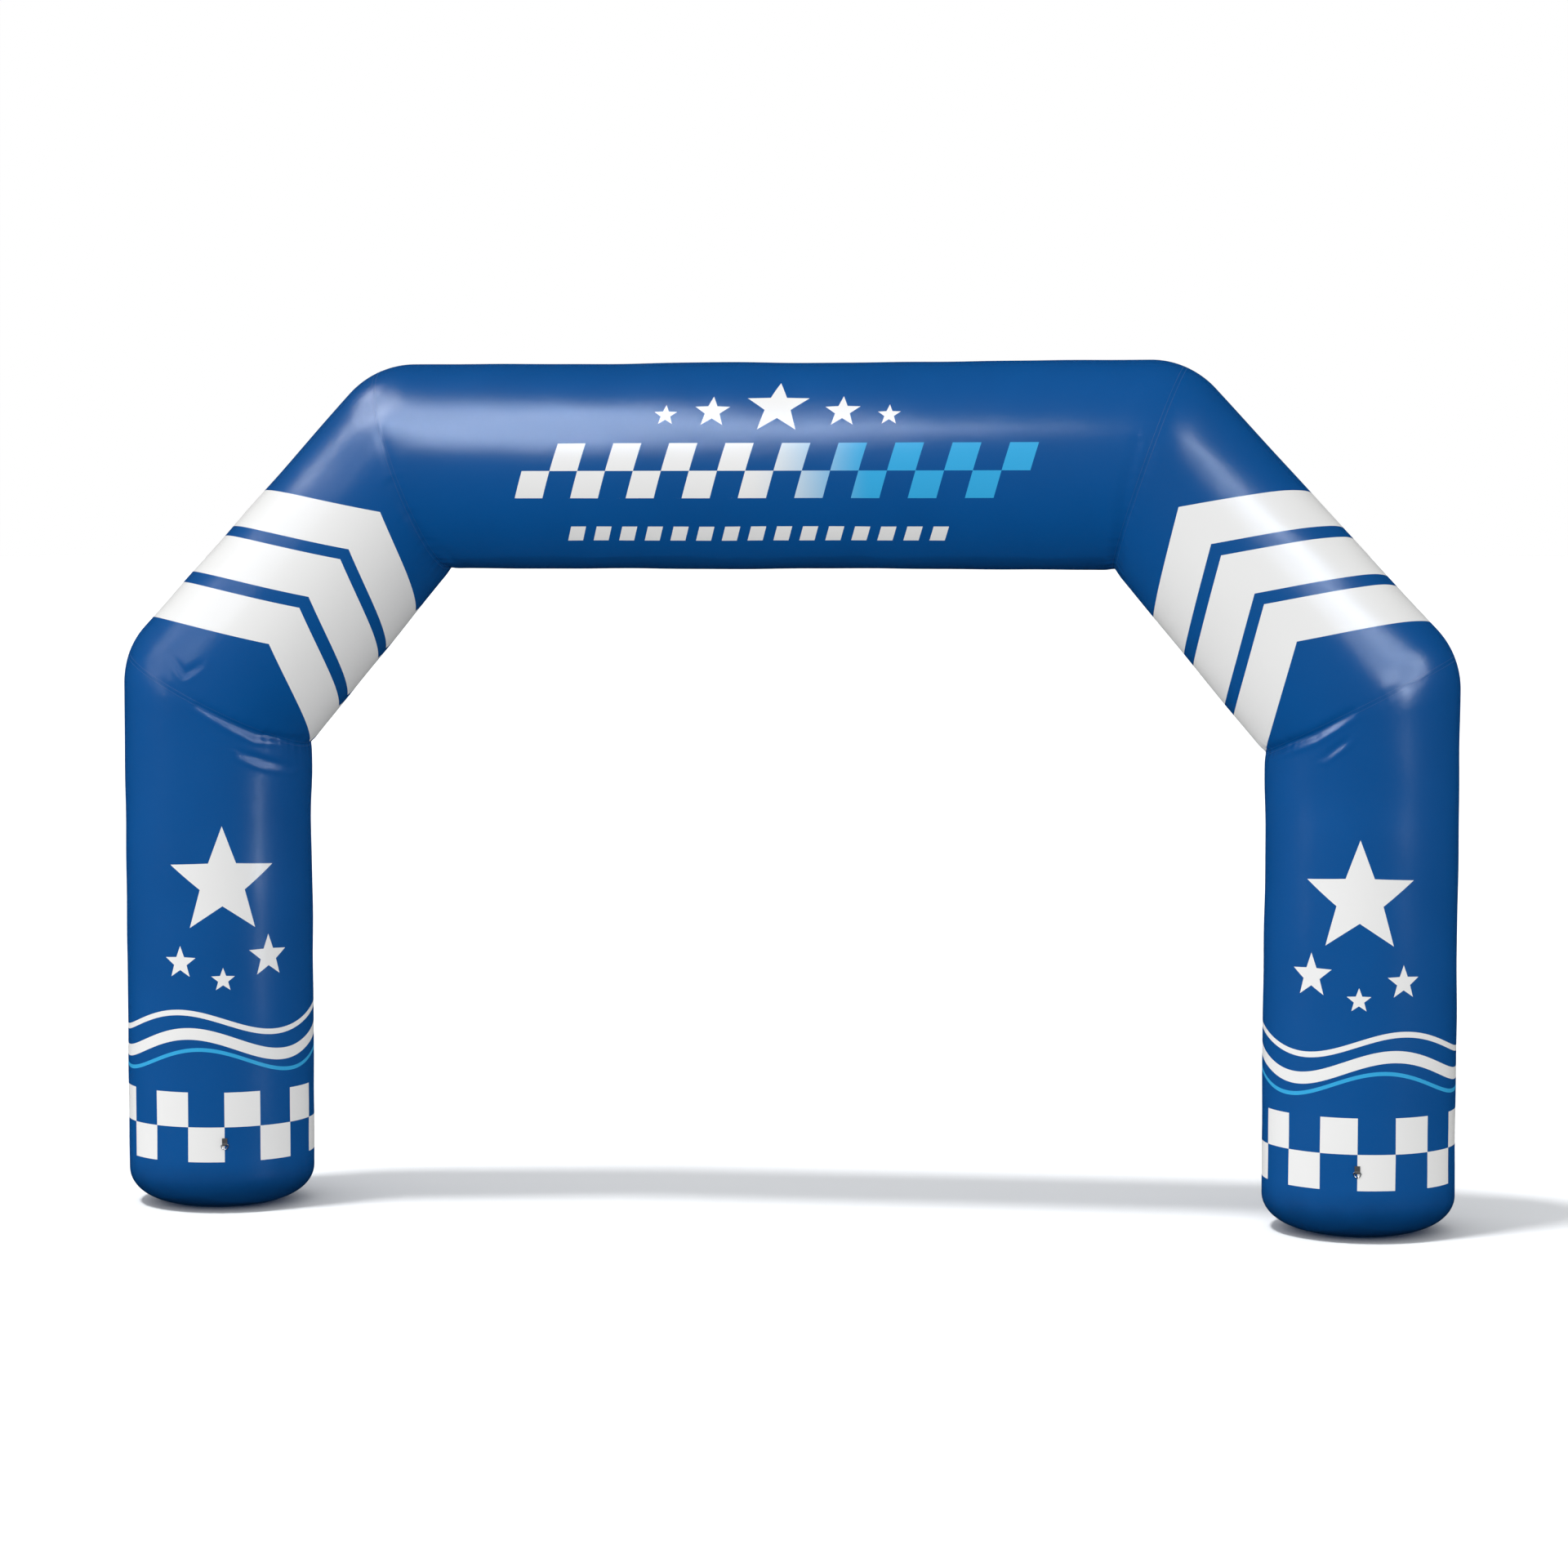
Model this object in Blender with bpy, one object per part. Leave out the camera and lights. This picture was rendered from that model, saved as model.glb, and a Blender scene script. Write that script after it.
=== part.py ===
"""Inflatable arch: two upright tubes, two slanted shoulder tubes and a level beam of filled cloth.

Metres, +Z up. The arch stands across X and is walked through along Y, its front faces -Y, and the
origin is on the floor midway between the feet. Every tube is a loft of oval stations. A station is set
by two points in the XZ plane, one on the inner edge and one on the outer edge of the arch, and by its
half width along Y. The tubes meet at slanted sewn seams.
"""
import math

import bmesh
import bpy
from mathutils import Vector

# Overall outline, front view
HEIGHT = 4.0
BEAM_DIAMETER = 0.962
LEG_DIAMETER = 0.884
LEG_AXIS_X = 2.710
KNEE_INNER_Z = 2.200
KNEE_OUTER_Z = 2.651
CROWN_INNER_X = 1.5715
CROWN_OUTER_X = 1.911
CORNER_RADIUS = 0.40

# The tube's half width along Y at the two sewn seams and midway between them
KNEE_HALF_WIDTH = 0.462
SHOULDER_HALF_WIDTH = 0.470
CROWN_HALF_WIDTH = 0.472

# Feet: the tube draws in to a flat round base panel
FOOT_HEIGHT = 0.164
FOOT_INSET = 0.246
BASE_RADIUS = 0.250
BASE_THICKNESS = 0.003

# Seams: the cloth is drawn in along each seam, and neighbouring pieces stand a hair apart
SEAM_GAP = 0.0003
SEAM_DRAW = 0.006
SEAM_REACH = 0.027
SEAM_STATIONS = (0.0, 0.020, 0.045)

# Tether fitting on the front of each leg: folded webbing that holds a wire ring. The left one is turned
# about the leg's axis, towards the approach to the arch.
TETHER_Z = 0.330
TETHER_TURN_DEG = {"left": 18.0, "right": 0.0}
WEBBING_WIDTH = 0.025
WEBBING_THICKNESS = 0.002
WEBBING_TAIL = 0.030
WEBBING_LEAVES_RING_DEG = 50.0
WEBBING_LAYERS_MEET = 0.0078
RING_WIRE_RADIUS = 0.0025
RING_HALF_WIDTH = 0.0165
RING_DROP = 0.022
RING_STEPS = 14
WIRE_SIDES = 8

# Fineness of the solids
SIDES = 40
FOOT_STEPS = 7
SHANK_STEPS = 5
KNEE_STEPS = 17
SHOULDER_STEPS = 13
BEAM_STEPS = 26
FAN_START_Z = 1.90
ARC_STEPS = 16

LEG_RADIUS = LEG_DIAMETER / 2
LEG_FACE_DISTANCE = LEG_RADIUS * math.cos(math.pi / SIDES)
RING_BAR_DISTANCE = LEG_FACE_DISTANCE + WEBBING_THICKNESS + 2 * SEAM_GAP + RING_WIRE_RADIUS
BEAM_RADIUS = BEAM_DIAMETER / 2
KNEE_INNER = Vector((LEG_AXIS_X - LEG_RADIUS, KNEE_INNER_Z))
KNEE_OUTER = Vector((LEG_AXIS_X + LEG_RADIUS, KNEE_OUTER_Z))
CROWN_INNER = Vector((CROWN_INNER_X, HEIGHT - BEAM_DIAMETER))
CROWN_OUTER = Vector((CROWN_OUTER_X, HEIGHT))

# Soft troughs that the cloth folds into on the front: where each starts and ends, seen from the front,
# its depth and its half width
TROUGH_COLUMNS = ("x_start", "z_start", "x_end", "z_end", "depth", "half_width")
TROUGHS = (
    (2.270, 2.205, 2.500, 2.300, 0.016, 0.034),
    (2.500, 2.300, 2.665, 2.410, 0.011, 0.030),
    (2.540, 2.205, 2.650, 2.290, 0.007, 0.028),
    (-2.660, 2.405, -2.420, 2.255, 0.014, 0.032),
    (-2.420, 2.255, -2.200, 2.222, 0.012, 0.036),
    (-2.480, 2.175, -2.310, 2.105, 0.007, 0.032),
    (-2.820, 2.640, -2.735, 2.560, 0.009, 0.030),
    (-2.735, 2.560, -2.655, 2.600, 0.009, 0.028),
    (1.585, 3.050, 1.630, 3.300, 0.007, 0.032),
    (1.630, 3.300, 1.700, 3.600, 0.004, 0.036),
    (-1.500, 3.050, -1.605, 3.190, 0.006, 0.034),
    (-1.605, 3.190, -1.730, 3.440, 0.004, 0.038),
)

# The troughs lie on the front and fade out within this share of the half width from the tube's sides
TROUGH_FADE = 1 / 3

# Slow swells and waists of the tubes: centre, how far the tube stands out there, and how far it reaches
SWELL_COLUMNS = ("x", "z", "out", "reach")
SWELLS = (
    (-0.90, HEIGHT, -0.004, 0.30),
    (-0.45, HEIGHT, 0.004, 0.30),
    (0.15, HEIGHT, -0.004, 0.30),
    (1.55, HEIGHT, 0.004, 0.40),
    (0.30, HEIGHT - BEAM_DIAMETER, -0.004, 0.35),
    (-2.268, 1.80, -0.006, 0.22),
    (2.268, 1.80, -0.006, 0.35),
    (-2.268, 2.06, 0.005, 0.14),
    (2.268, 2.06, 0.004, 0.14),
)


def clear_scene():
    """Empties the scene before the model is made."""
    for item in list(bpy.data.objects):
        bpy.data.objects.remove(item, do_unlink=True)


def material(name, color, roughness, metallic=0.0):
    """A plain material with the piece's colour, roughness and metallic value."""
    made = bpy.data.materials.new(name)
    made.use_nodes = True
    shader = made.node_tree.nodes["Principled BSDF"]
    shader.inputs["Base Color"].default_value = (*color, 1.0)
    shader.inputs["Roughness"].default_value = roughness
    shader.inputs["Metallic"].default_value = metallic
    return made


def add_piece(name, rings, finish, closed=False):
    """One named sub-part: a solid lofted through rings of equal count.

    The ends are flat faces, or the last ring joins the first one where the loft is closed.
    """
    work = bmesh.new()
    loops = [[work.verts.new(point) for point in ring] for ring in rings]
    followers = loops[1:] + loops[:1] if closed else loops[1:]
    for low, high in zip(loops, followers):
        for here in range(len(low)):
            after = (here + 1) % len(low)
            work.faces.new((low[here], low[after], high[after], high[here]))
    if not closed:
        work.faces.new(list(reversed(loops[0])))
        work.faces.new(loops[-1])
    bmesh.ops.recalc_face_normals(work, faces=work.faces)
    mesh = bpy.data.meshes.new(name)
    work.to_mesh(mesh)
    work.free()
    mesh.materials.append(finish)
    mesh.shade_smooth()
    mesh.set_sharp_from_angle(angle=math.radians(40))
    item = bpy.data.objects.new(name, mesh)
    bpy.context.scene.collection.objects.link(item)
    return item


def corner_arc(before, corner, after, radius):
    """Points of the arc that rounds one corner of an outline, ends included."""
    back = (before - corner).normalized()
    ahead = (after - corner).normalized()
    half = back.angle(ahead) / 2
    centre = corner + (back + ahead).normalized() * radius / math.sin(half)
    start = corner + back * radius / math.tan(half) - centre
    end = corner + ahead * radius / math.tan(half) - centre
    turn = start.angle(end)
    points = []
    for step in range(ARC_STEPS + 1):
        share = step / ARC_STEPS
        mixed = start * math.sin((1 - share) * turn) + end * math.sin(share * turn)
        points.append(centre + mixed / math.sin(turn))
    return points


def along(points, share):
    """The point a given share of the way along a chain of points."""
    lengths = [(b - a).length for a, b in zip(points, points[1:])]
    left = share * sum(lengths)
    for a, b, length in zip(points, points[1:], lengths):
        if left <= length:
            return a.lerp(b, left / length)
        left -= length
    return points[-1]


def sided(point, side):
    """A front-view point of the right half (side 1), or its mirror image (side -1)."""
    return Vector((point.x * side, point.y))


def outer_edges():
    """Outer edge of the right leg above its straight part, of the right shoulder, and of the beam."""
    foot = Vector((KNEE_OUTER.x, FAN_START_Z))
    knee = corner_arc(foot, KNEE_OUTER, CROWN_OUTER, CORNER_RADIUS)
    crown = corner_arc(KNEE_OUTER, CROWN_OUTER, Vector((0.0, HEIGHT)), CORNER_RADIUS)
    middle = ARC_STEPS // 2
    leg_edge = [foot] + knee[:middle + 1]
    shoulder_edge = knee[middle:] + crown[:middle + 1]
    half_beam = crown[middle:]
    beam_edge = half_beam + [sided(point, -1) for point in reversed(half_beam)]
    return leg_edge, shoulder_edge, beam_edge


def seam_to_seam(count, length):
    """Shares along a tube from seam to seam, with closer stations beside each seam."""
    near = [distance / length for distance in SEAM_STATIONS]
    between = count - 2 * len(near) + 2
    even = [near[-1] + (1 - 2 * near[-1]) * step / between for step in range(1, between)]
    return near + even + [1 - share for share in reversed(near)]


def swell_at(x, z):
    """How far the tube stands out, at a place seen from the front."""
    out = 0.0
    for row in SWELLS:
        swell = dict(zip(SWELL_COLUMNS, row))
        distance = math.hypot(x - swell["x"], z - swell["z"])
        out += swell["out"] * math.exp(-(distance / swell["reach"]) ** 2)
    return out


def trough_at(x, z):
    """Depth of the folds at a place seen from the front: each trough is a soft furrow along a line."""
    depth = 0.0
    place = Vector((x, z))
    for row in TROUGHS:
        trough = dict(zip(TROUGH_COLUMNS, row))
        start = Vector((trough["x_start"], trough["z_start"]))
        line = Vector((trough["x_end"], trough["z_end"])) - start
        share = min(1.0, max(0.0, (place - start).dot(line) / line.length_squared))
        distance = (place - start - line * share).length
        depth = max(depth, trough["depth"] * math.exp(-(distance / trough["half_width"]) ** 2))
    return depth


def drawn_in(distance):
    """How far the cloth is drawn in at a distance from its seam."""
    return SEAM_DRAW * math.exp(-(distance / SEAM_REACH) ** 2)


def half_width_at(low, middle, high, share):
    """A tube's half width: the smooth curve through its values at both ends and midway."""
    from_low = low * (1 - share) * (1 - 2 * share)
    from_high = high * share * (2 * share - 1)
    return from_low + 4 * middle * share * (1 - share) + from_high


def station(inner, outer, half_width, drawn=0.0):
    """One oval ring of a tube, from the front round by the outer edge to the back and the inner edge.

    It is the ellipse through the inner and the outer point, shaped by the swells and the front's troughs.
    A seam draws it in by a length on the inner side, and less and less towards the outer side.
    """
    centre = (inner + outer) / 2
    reach = (outer - inner) / 2
    ring = []
    for side in range(SIDES):
        angle = math.tau * (side + 0.5) / SIDES
        spot = centre + reach * math.sin(angle)
        y = -half_width * math.cos(angle)
        radial = Vector((spot.x - centre.x, y, spot.y - centre.y))
        front = min(1.0, max(0.0, math.cos(angle) / TROUGH_FADE))
        inside = (1 - math.sin(angle)) / 2
        out = swell_at(spot.x, spot.y) - front * trough_at(spot.x, spot.y) - inside * drawn
        ring.append(Vector((spot.x, y, spot.y)) + radial.normalized() * out)
    return ring


def cut_at_seam(ring, seam_start, seam_end, tube_middle):
    """Moves a ring onto its seam's plane, half a gap short of it on the side where the tube lies."""
    line = (seam_end - seam_start).normalized()
    normal = Vector((-line.y, line.x))
    if (tube_middle - seam_start).dot(normal) < 0:
        normal = -normal
    flat = []
    for point in ring:
        move = SEAM_GAP / 2 - (Vector((point.x, point.z)) - seam_start).dot(normal)
        flat.append(Vector((point.x + normal.x * move, point.y, point.z + normal.y * move)))
    return flat


def leg(side, edge):
    """Rings of an upright tube: rounded foot, straight shank, and a top cut slanting at the knee seam."""
    floor = BASE_THICKNESS + SEAM_GAP
    lowest_turn = math.asin(1 - floor / FOOT_HEIGHT)
    rings = []
    for step in range(FOOT_STEPS):
        turn = lowest_turn * (1 - step / FOOT_STEPS)
        radius = LEG_RADIUS - FOOT_INSET * (1 - math.cos(turn))
        z = FOOT_HEIGHT * (1 - math.sin(turn))
        inner = sided(Vector((LEG_AXIS_X - radius, z)), side)
        outer = sided(Vector((LEG_AXIS_X + radius, z)), side)
        rings.append(station(inner, outer, radius))
    rings[0] = [Vector((point.x, point.y, floor)) for point in rings[0]]
    for step in range(SHANK_STEPS):
        z = FOOT_HEIGHT + (FAN_START_Z - FOOT_HEIGHT) * step / SHANK_STEPS
        inner = sided(Vector((LEG_AXIS_X - LEG_RADIUS, z)), side)
        outer = sided(Vector((LEG_AXIS_X + LEG_RADIUS, z)), side)
        rings.append(station(inner, outer, LEG_RADIUS))
    inner_edge = [Vector((KNEE_INNER.x, FAN_START_Z)), KNEE_INNER]
    fan_length = (KNEE_INNER_Z + KNEE_OUTER_Z) / 2 - FAN_START_Z
    for step in range(KNEE_STEPS + 1):
        share = step / KNEE_STEPS
        half_width = LEG_RADIUS + (KNEE_HALF_WIDTH - LEG_RADIUS) * share ** 2
        drawn = drawn_in((1 - share) * fan_length)
        inner = sided(along(inner_edge, share), side)
        outer = sided(along(edge, share), side)
        rings.append(station(inner, outer, half_width, drawn))
    foot = Vector((side * LEG_AXIS_X, 0.0))
    rings[-1] = cut_at_seam(rings[-1], sided(KNEE_INNER, side), sided(edge[-1], side), foot)
    return rings


def shoulder(side, edge):
    """Rings of a slanted tube from the knee seam up to the crown seam, both ends cut slanting."""
    inner_edge = [KNEE_INNER, CROWN_INNER]
    length = (CROWN_INNER - KNEE_INNER).length
    rings = []
    for share in seam_to_seam(SHOULDER_STEPS, length):
        half_width = half_width_at(KNEE_HALF_WIDTH, SHOULDER_HALF_WIDTH, CROWN_HALF_WIDTH, share)
        drawn = drawn_in(share * length) + drawn_in((1 - share) * length)
        inner = sided(along(inner_edge, share), side)
        outer = sided(along(edge, share), side)
        rings.append(station(inner, outer, half_width, drawn))
    middle = sided((KNEE_INNER + CROWN_OUTER) / 2, side)
    rings[0] = cut_at_seam(rings[0], sided(KNEE_INNER, side), sided(edge[0], side), middle)
    rings[-1] = cut_at_seam(rings[-1], sided(CROWN_INNER, side), sided(edge[-1], side), middle)
    return rings


def beam(edge):
    """Rings of the level tube, from the right crown seam to the left one."""
    inner_edge = [CROWN_INNER, sided(CROWN_INNER, -1)]
    length = 2 * CROWN_INNER.x
    rings = []
    for share in seam_to_seam(BEAM_STEPS, length):
        half_width = half_width_at(CROWN_HALF_WIDTH, BEAM_RADIUS, CROWN_HALF_WIDTH, share)
        drawn = drawn_in(share * length) + drawn_in((1 - share) * length)
        rings.append(station(along(inner_edge, share), along(edge, share), half_width, drawn))
    middle = Vector((0.0, HEIGHT - BEAM_RADIUS))
    rings[0] = cut_at_seam(rings[0], inner_edge[0], edge[0], middle)
    rings[-1] = cut_at_seam(rings[-1], inner_edge[1], edge[-1], middle)
    return rings


def base_panel(side):
    """Rings of the flat round panel that closes a leg at the floor."""
    rings = []
    for z in (0.0, BASE_THICKNESS):
        ring = []
        for step in range(SIDES):
            angle = math.tau * (step + 0.5) / SIDES
            x = side * LEG_AXIS_X + BASE_RADIUS * math.sin(angle)
            ring.append(Vector((x, -BASE_RADIUS * math.cos(angle), z)))
        rings.append(ring)
    return rings


def swept(path, section, closed=False):
    """A section carried along a flat path, as (place in the path's plane, distance sideways) pairs.

    The section lists (across the path, sideways) pairs. At each bend it is cut along the mitre.
    """
    rings = []
    last = len(path) - 1
    for index, point in enumerate(path):
        before = path[index - 1] if index > 0 or closed else point * 2 - path[1]
        after = path[(index + 1) % len(path)] if index < last or closed else point * 2 - path[last - 1]
        way_in = (point - before).normalized()
        mean = (way_in + (after - point).normalized()).normalized()
        across = Vector((-mean.y, mean.x)) / mean.dot(way_in)
        rings.append([(point + across * out, sideways) for out, sideways in section])
    return rings


def tether_tab():
    """Rings of a webbing strip folded round the ring's bar, facing -Y from the leg's axis.

    It comes down against the leg, turns under the bar and goes up again in front of its own first layer.
    """
    turn_radius = RING_WIRE_RADIUS + SEAM_GAP + WEBBING_THICKNESS / 2
    first_layer = -turn_radius
    second_layer = first_layer + WEBBING_THICKNESS + SEAM_GAP
    path = [Vector((first_layer, WEBBING_TAIL))]
    turn = math.pi + math.radians(WEBBING_LEAVES_RING_DEG)
    for step in range(ARC_STEPS + 1):
        angle = math.pi + turn * step / ARC_STEPS
        path.append(Vector((turn_radius * math.cos(angle), turn_radius * math.sin(angle))))
    path.append(Vector((second_layer, WEBBING_LAYERS_MEET)))
    path.append(Vector((second_layer, WEBBING_TAIL)))
    thick = WEBBING_THICKNESS / 2
    wide = WEBBING_WIDTH / 2
    section = ((thick, -wide), (thick, wide), (-thick, wide), (-thick, -wide))
    rings = []
    for ring in swept(path, section):
        rings.append([Vector((x, -RING_BAR_DISTANCE - spot.x, TETHER_Z + spot.y)) for spot, x in ring])
    return rings


def tether_ring():
    """Rings of a D-shaped wire ring: a straight bar in the webbing's fold and a bow hanging below it."""
    path = []
    for step in range(RING_STEPS + 1):
        angle = math.pi * step / RING_STEPS
        path.append(Vector((RING_HALF_WIDTH * math.cos(angle), -RING_DROP * math.sin(angle))))
    section = []
    for wire_side in range(WIRE_SIDES):
        angle = math.tau * wire_side / WIRE_SIDES
        section.append((RING_WIRE_RADIUS * math.cos(angle), RING_WIRE_RADIUS * math.sin(angle)))
    rings = []
    for ring in swept(path, section, closed=True):
        rings.append([Vector((spot.x, y - RING_BAR_DISTANCE, TETHER_Z + spot.y)) for spot, y in ring])
    return rings


def build():
    """Makes every piece of the arch."""
    clear_scene()
    cloth = material("coated_cloth_blue", (0.003, 0.080, 0.290), 0.42)
    base_cloth = material("base_cloth_blue", (0.002, 0.034, 0.130), 0.55)
    webbing = material("webbing_grey", (0.060, 0.062, 0.068), 0.80)
    steel = material("ring_steel", (0.52, 0.53, 0.55), 0.30, 1.0)
    leg_edge, shoulder_edge, beam_edge = outer_edges()
    add_piece("beam", beam(beam_edge), cloth)
    for hand, side in (("left", -1), ("right", 1)):
        add_piece(f"leg_{hand}", leg(side, leg_edge), cloth)
        add_piece(f"shoulder_{hand}", shoulder(side, shoulder_edge), cloth)
        add_piece(f"base_panel_{hand}", base_panel(side), base_cloth)
        tab = add_piece(f"tether_tab_{hand}", tether_tab(), webbing)
        ring = add_piece(f"tether_ring_{hand}", tether_ring(), steel, closed=True)
        for fitting in (tab, ring):
            fitting.location.x = side * LEG_AXIS_X
            fitting.rotation_euler.z = math.radians(TETHER_TURN_DEG[hand])


build()
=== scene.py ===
"""Looks of the inflatable arch: filled cloth tubes, their print and sewing, tether fittings and a studio.

Metres, +Z up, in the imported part's own frame: the arch stands across X, its front faces -Y, and the origin
is on the floor midway between the feet. The file follows the arch as it is put together, from the studio
that it stands in up through the legs, the shoulders and the beam.
"""
import math

import bpy
import numpy as np
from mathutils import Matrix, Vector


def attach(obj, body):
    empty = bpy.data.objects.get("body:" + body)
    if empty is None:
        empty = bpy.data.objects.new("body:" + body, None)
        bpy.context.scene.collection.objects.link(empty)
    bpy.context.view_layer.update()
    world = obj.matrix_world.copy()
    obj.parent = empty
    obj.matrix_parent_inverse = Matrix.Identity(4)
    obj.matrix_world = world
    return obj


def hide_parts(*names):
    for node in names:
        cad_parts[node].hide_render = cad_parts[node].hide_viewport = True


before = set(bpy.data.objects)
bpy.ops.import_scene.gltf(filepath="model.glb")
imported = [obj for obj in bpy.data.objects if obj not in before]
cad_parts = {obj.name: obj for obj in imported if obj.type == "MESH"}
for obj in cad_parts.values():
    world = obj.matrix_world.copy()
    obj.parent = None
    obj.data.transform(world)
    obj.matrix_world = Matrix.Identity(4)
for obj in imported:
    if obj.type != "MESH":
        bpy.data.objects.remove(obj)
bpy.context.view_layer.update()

# The studio: a wide pale floor inside a round white wall, a sky that is dimmer on the right and below, four
# soft boxes high up that give the cloth its gloss, and a soft sun that lays the beam's shadow. The camera
# stands in front of the right leg, above the knees, and looks a little down and to the left.
CAMERA_PLACE = (2.7944, -18.4378, 3.2940)
CAMERA_DOWN_DEG = 3.873
CAMERA_LEFT_DEG = 8.531
CAMERA_LENS_MM = 91.46
FLOOR_REACH = 300.0
FLOOR_PAINT = "D6D8DA"
WALL_RADIUS = 295.0
WALL_HEIGHT = 120.0
WALL_SIDES = 96
SKY_BY_HEIGHT = ((-0.90, 0.40), (-0.30, 0.82), (-0.06, 1.31), (0.20, 1.31), (0.75, 1.10))
SKY_ACROSS = ((-0.90, 1.15), (-0.34, 1.00), (0.10, 1.00), (0.60, 0.66))
BOX_COLUMNS = ("name", "place", "aim", "size", "watts")
BOXES = (
    ("soft_box_front", (-2.0, -3.4, 6.65), (-1.0, -0.4, 3.6), (2.3, 1.0), 880.0),
    ("soft_box_left", (-11.1, -4.5, 6.8), (-2.7, -0.4, 2.7), (1.3, 1.3), 520.0),
    ("soft_box_corner", (-7.6, -1.0, 10.8), (-1.9, -0.4, 3.7), (2.2, 2.2), 1650.0),
    ("soft_box_right", (11.0, -5.2, 7.0), (2.9, -0.4, 2.6), (1.1, 1.1), 2900.0),
)
SUN_PLACE = (-2.0, -2.0, 9.0)
SUN_WAY = (1.0, 0.77, -3.5)
SUN_STRENGTH = 3.0
SUN_SOFT_DEG = 8.0


def linear(code):
    """Linear red, green, blue and alpha of an sRGB colour written as hex digits."""
    share = np.array([int(code[start:start + 2], 16) for start in (0, 2, 4)]) / 255
    value = np.where(share <= 0.04045, share / 12.92, ((share + 0.055) / 1.055) ** 2.4)
    return (*value.tolist(), 1.0)


def node(tree, kind, inputs=None, **settings):
    """Adds a node, gives it its settings, and sets or links each input: a node as value links its output."""
    made = tree.nodes.new(kind)
    for name, value in settings.items():
        setattr(made, name, value)
    for socket, value in (inputs or {}).items():
        if isinstance(value, bpy.types.Node):
            value = value.outputs[0]
        if isinstance(value, bpy.types.NodeSocket):
            tree.links.new(value, made.inputs[socket])
        else:
            made.inputs[socket].default_value = value
    return made


def aimed(name, data, place, way):
    """Puts a lamp or camera in the scene at a place, looking along a way."""
    made = bpy.data.objects.new(name, data)
    bpy.context.scene.collection.objects.link(made)
    made.location = place
    made.rotation_euler = Vector(way).to_track_quat("-Z", "Y").to_euler()
    return made


camera_data = bpy.data.cameras.new("camera")
camera_data.lens = CAMERA_LENS_MM
camera_data.sensor_width = 36.0
camera = bpy.data.objects.new("camera", camera_data)
bpy.context.scene.collection.objects.link(camera)
camera.location = CAMERA_PLACE
camera.rotation_euler = (math.radians(90 - CAMERA_DOWN_DEG), 0, math.radians(CAMERA_LEFT_DEG))
bpy.context.scene.camera = camera
bpy.context.scene.view_settings.view_transform = "Standard"

sky = bpy.data.worlds.new("white_sky")
sky.use_nodes = True
sky_tree = sky.node_tree
sky_way = node(sky_tree, "ShaderNodeSeparateXYZ", {0: node(sky_tree, "ShaderNodeTexCoord")})
sky_ramps = []
for axis, stops in (("Z", SKY_BY_HEIGHT), ("X", SKY_ACROSS)):
    ramp = node(sky_tree, "ShaderNodeValToRGB", {0: node(
        sky_tree, "ShaderNodeMapRange", {"Value": sky_way.outputs[axis], "From Min": -1.0, "From Max": 1.0})})
    while len(ramp.color_ramp.elements) < len(stops):
        ramp.color_ramp.elements.new(0.5)
    for stop, (place, strength) in zip(ramp.color_ramp.elements, stops):
        stop.position = (place + 1) / 2
        stop.color = (strength, strength, strength, 1.0)
    sky_ramps.append(ramp)
sky_light = node(sky_tree, "ShaderNodeVectorMath", {0: sky_ramps[0], 1: sky_ramps[1]}, operation="MULTIPLY")
sky_tree.links.new(sky_light.outputs[0], sky_tree.nodes["Background"].inputs["Color"])
bpy.context.scene.world = sky
sky.cycles_visibility.glossy = False

for row in BOXES:
    box = dict(zip(BOX_COLUMNS, row))
    box_data = bpy.data.lights.new(box["name"], "AREA")
    box_data.shape = "RECTANGLE"
    box_data.size, box_data.size_y = box["size"]
    box_data.energy = box["watts"]
    lamp = aimed(box["name"], box_data, box["place"], np.subtract(box["aim"], box["place"]))
    lamp.visible_diffuse = False

sun_data = bpy.data.lights.new("soft_sun", "SUN")
sun_data.energy = SUN_STRENGTH
sun_data.angle = math.radians(SUN_SOFT_DEG)
sun = aimed("soft_sun", sun_data, SUN_PLACE, SUN_WAY)
sun.visible_glossy = False



def principled(name):
    """A new material with nodes: the material, its node tree and its shader."""
    made = bpy.data.materials.new(name)
    made.use_nodes = True
    return made, made.node_tree, made.node_tree.nodes["Principled BSDF"]


floor_mesh = bpy.data.meshes.new("floor")
floor_corners = [(x * FLOOR_REACH, y * FLOOR_REACH, 0) for x, y in ((-1, -1), (1, -1), (1, 1), (-1, 1))]
floor_mesh.from_pydata(floor_corners, [], [(0, 1, 2, 3)])
floor = bpy.data.objects.new("floor", floor_mesh)
bpy.context.scene.collection.objects.link(floor)
floor_paint, _, floor_shader = principled("floor_matt_paint")
floor_shader.inputs["Base Color"].default_value = linear(FLOOR_PAINT)
floor_shader.inputs["Roughness"].default_value = 0.9
floor_shader.inputs["Specular IOR Level"].default_value = 0.1
floor_mesh.materials.append(floor_paint)
floor.visible_diffuse = False
floor.visible_glossy = False

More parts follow.
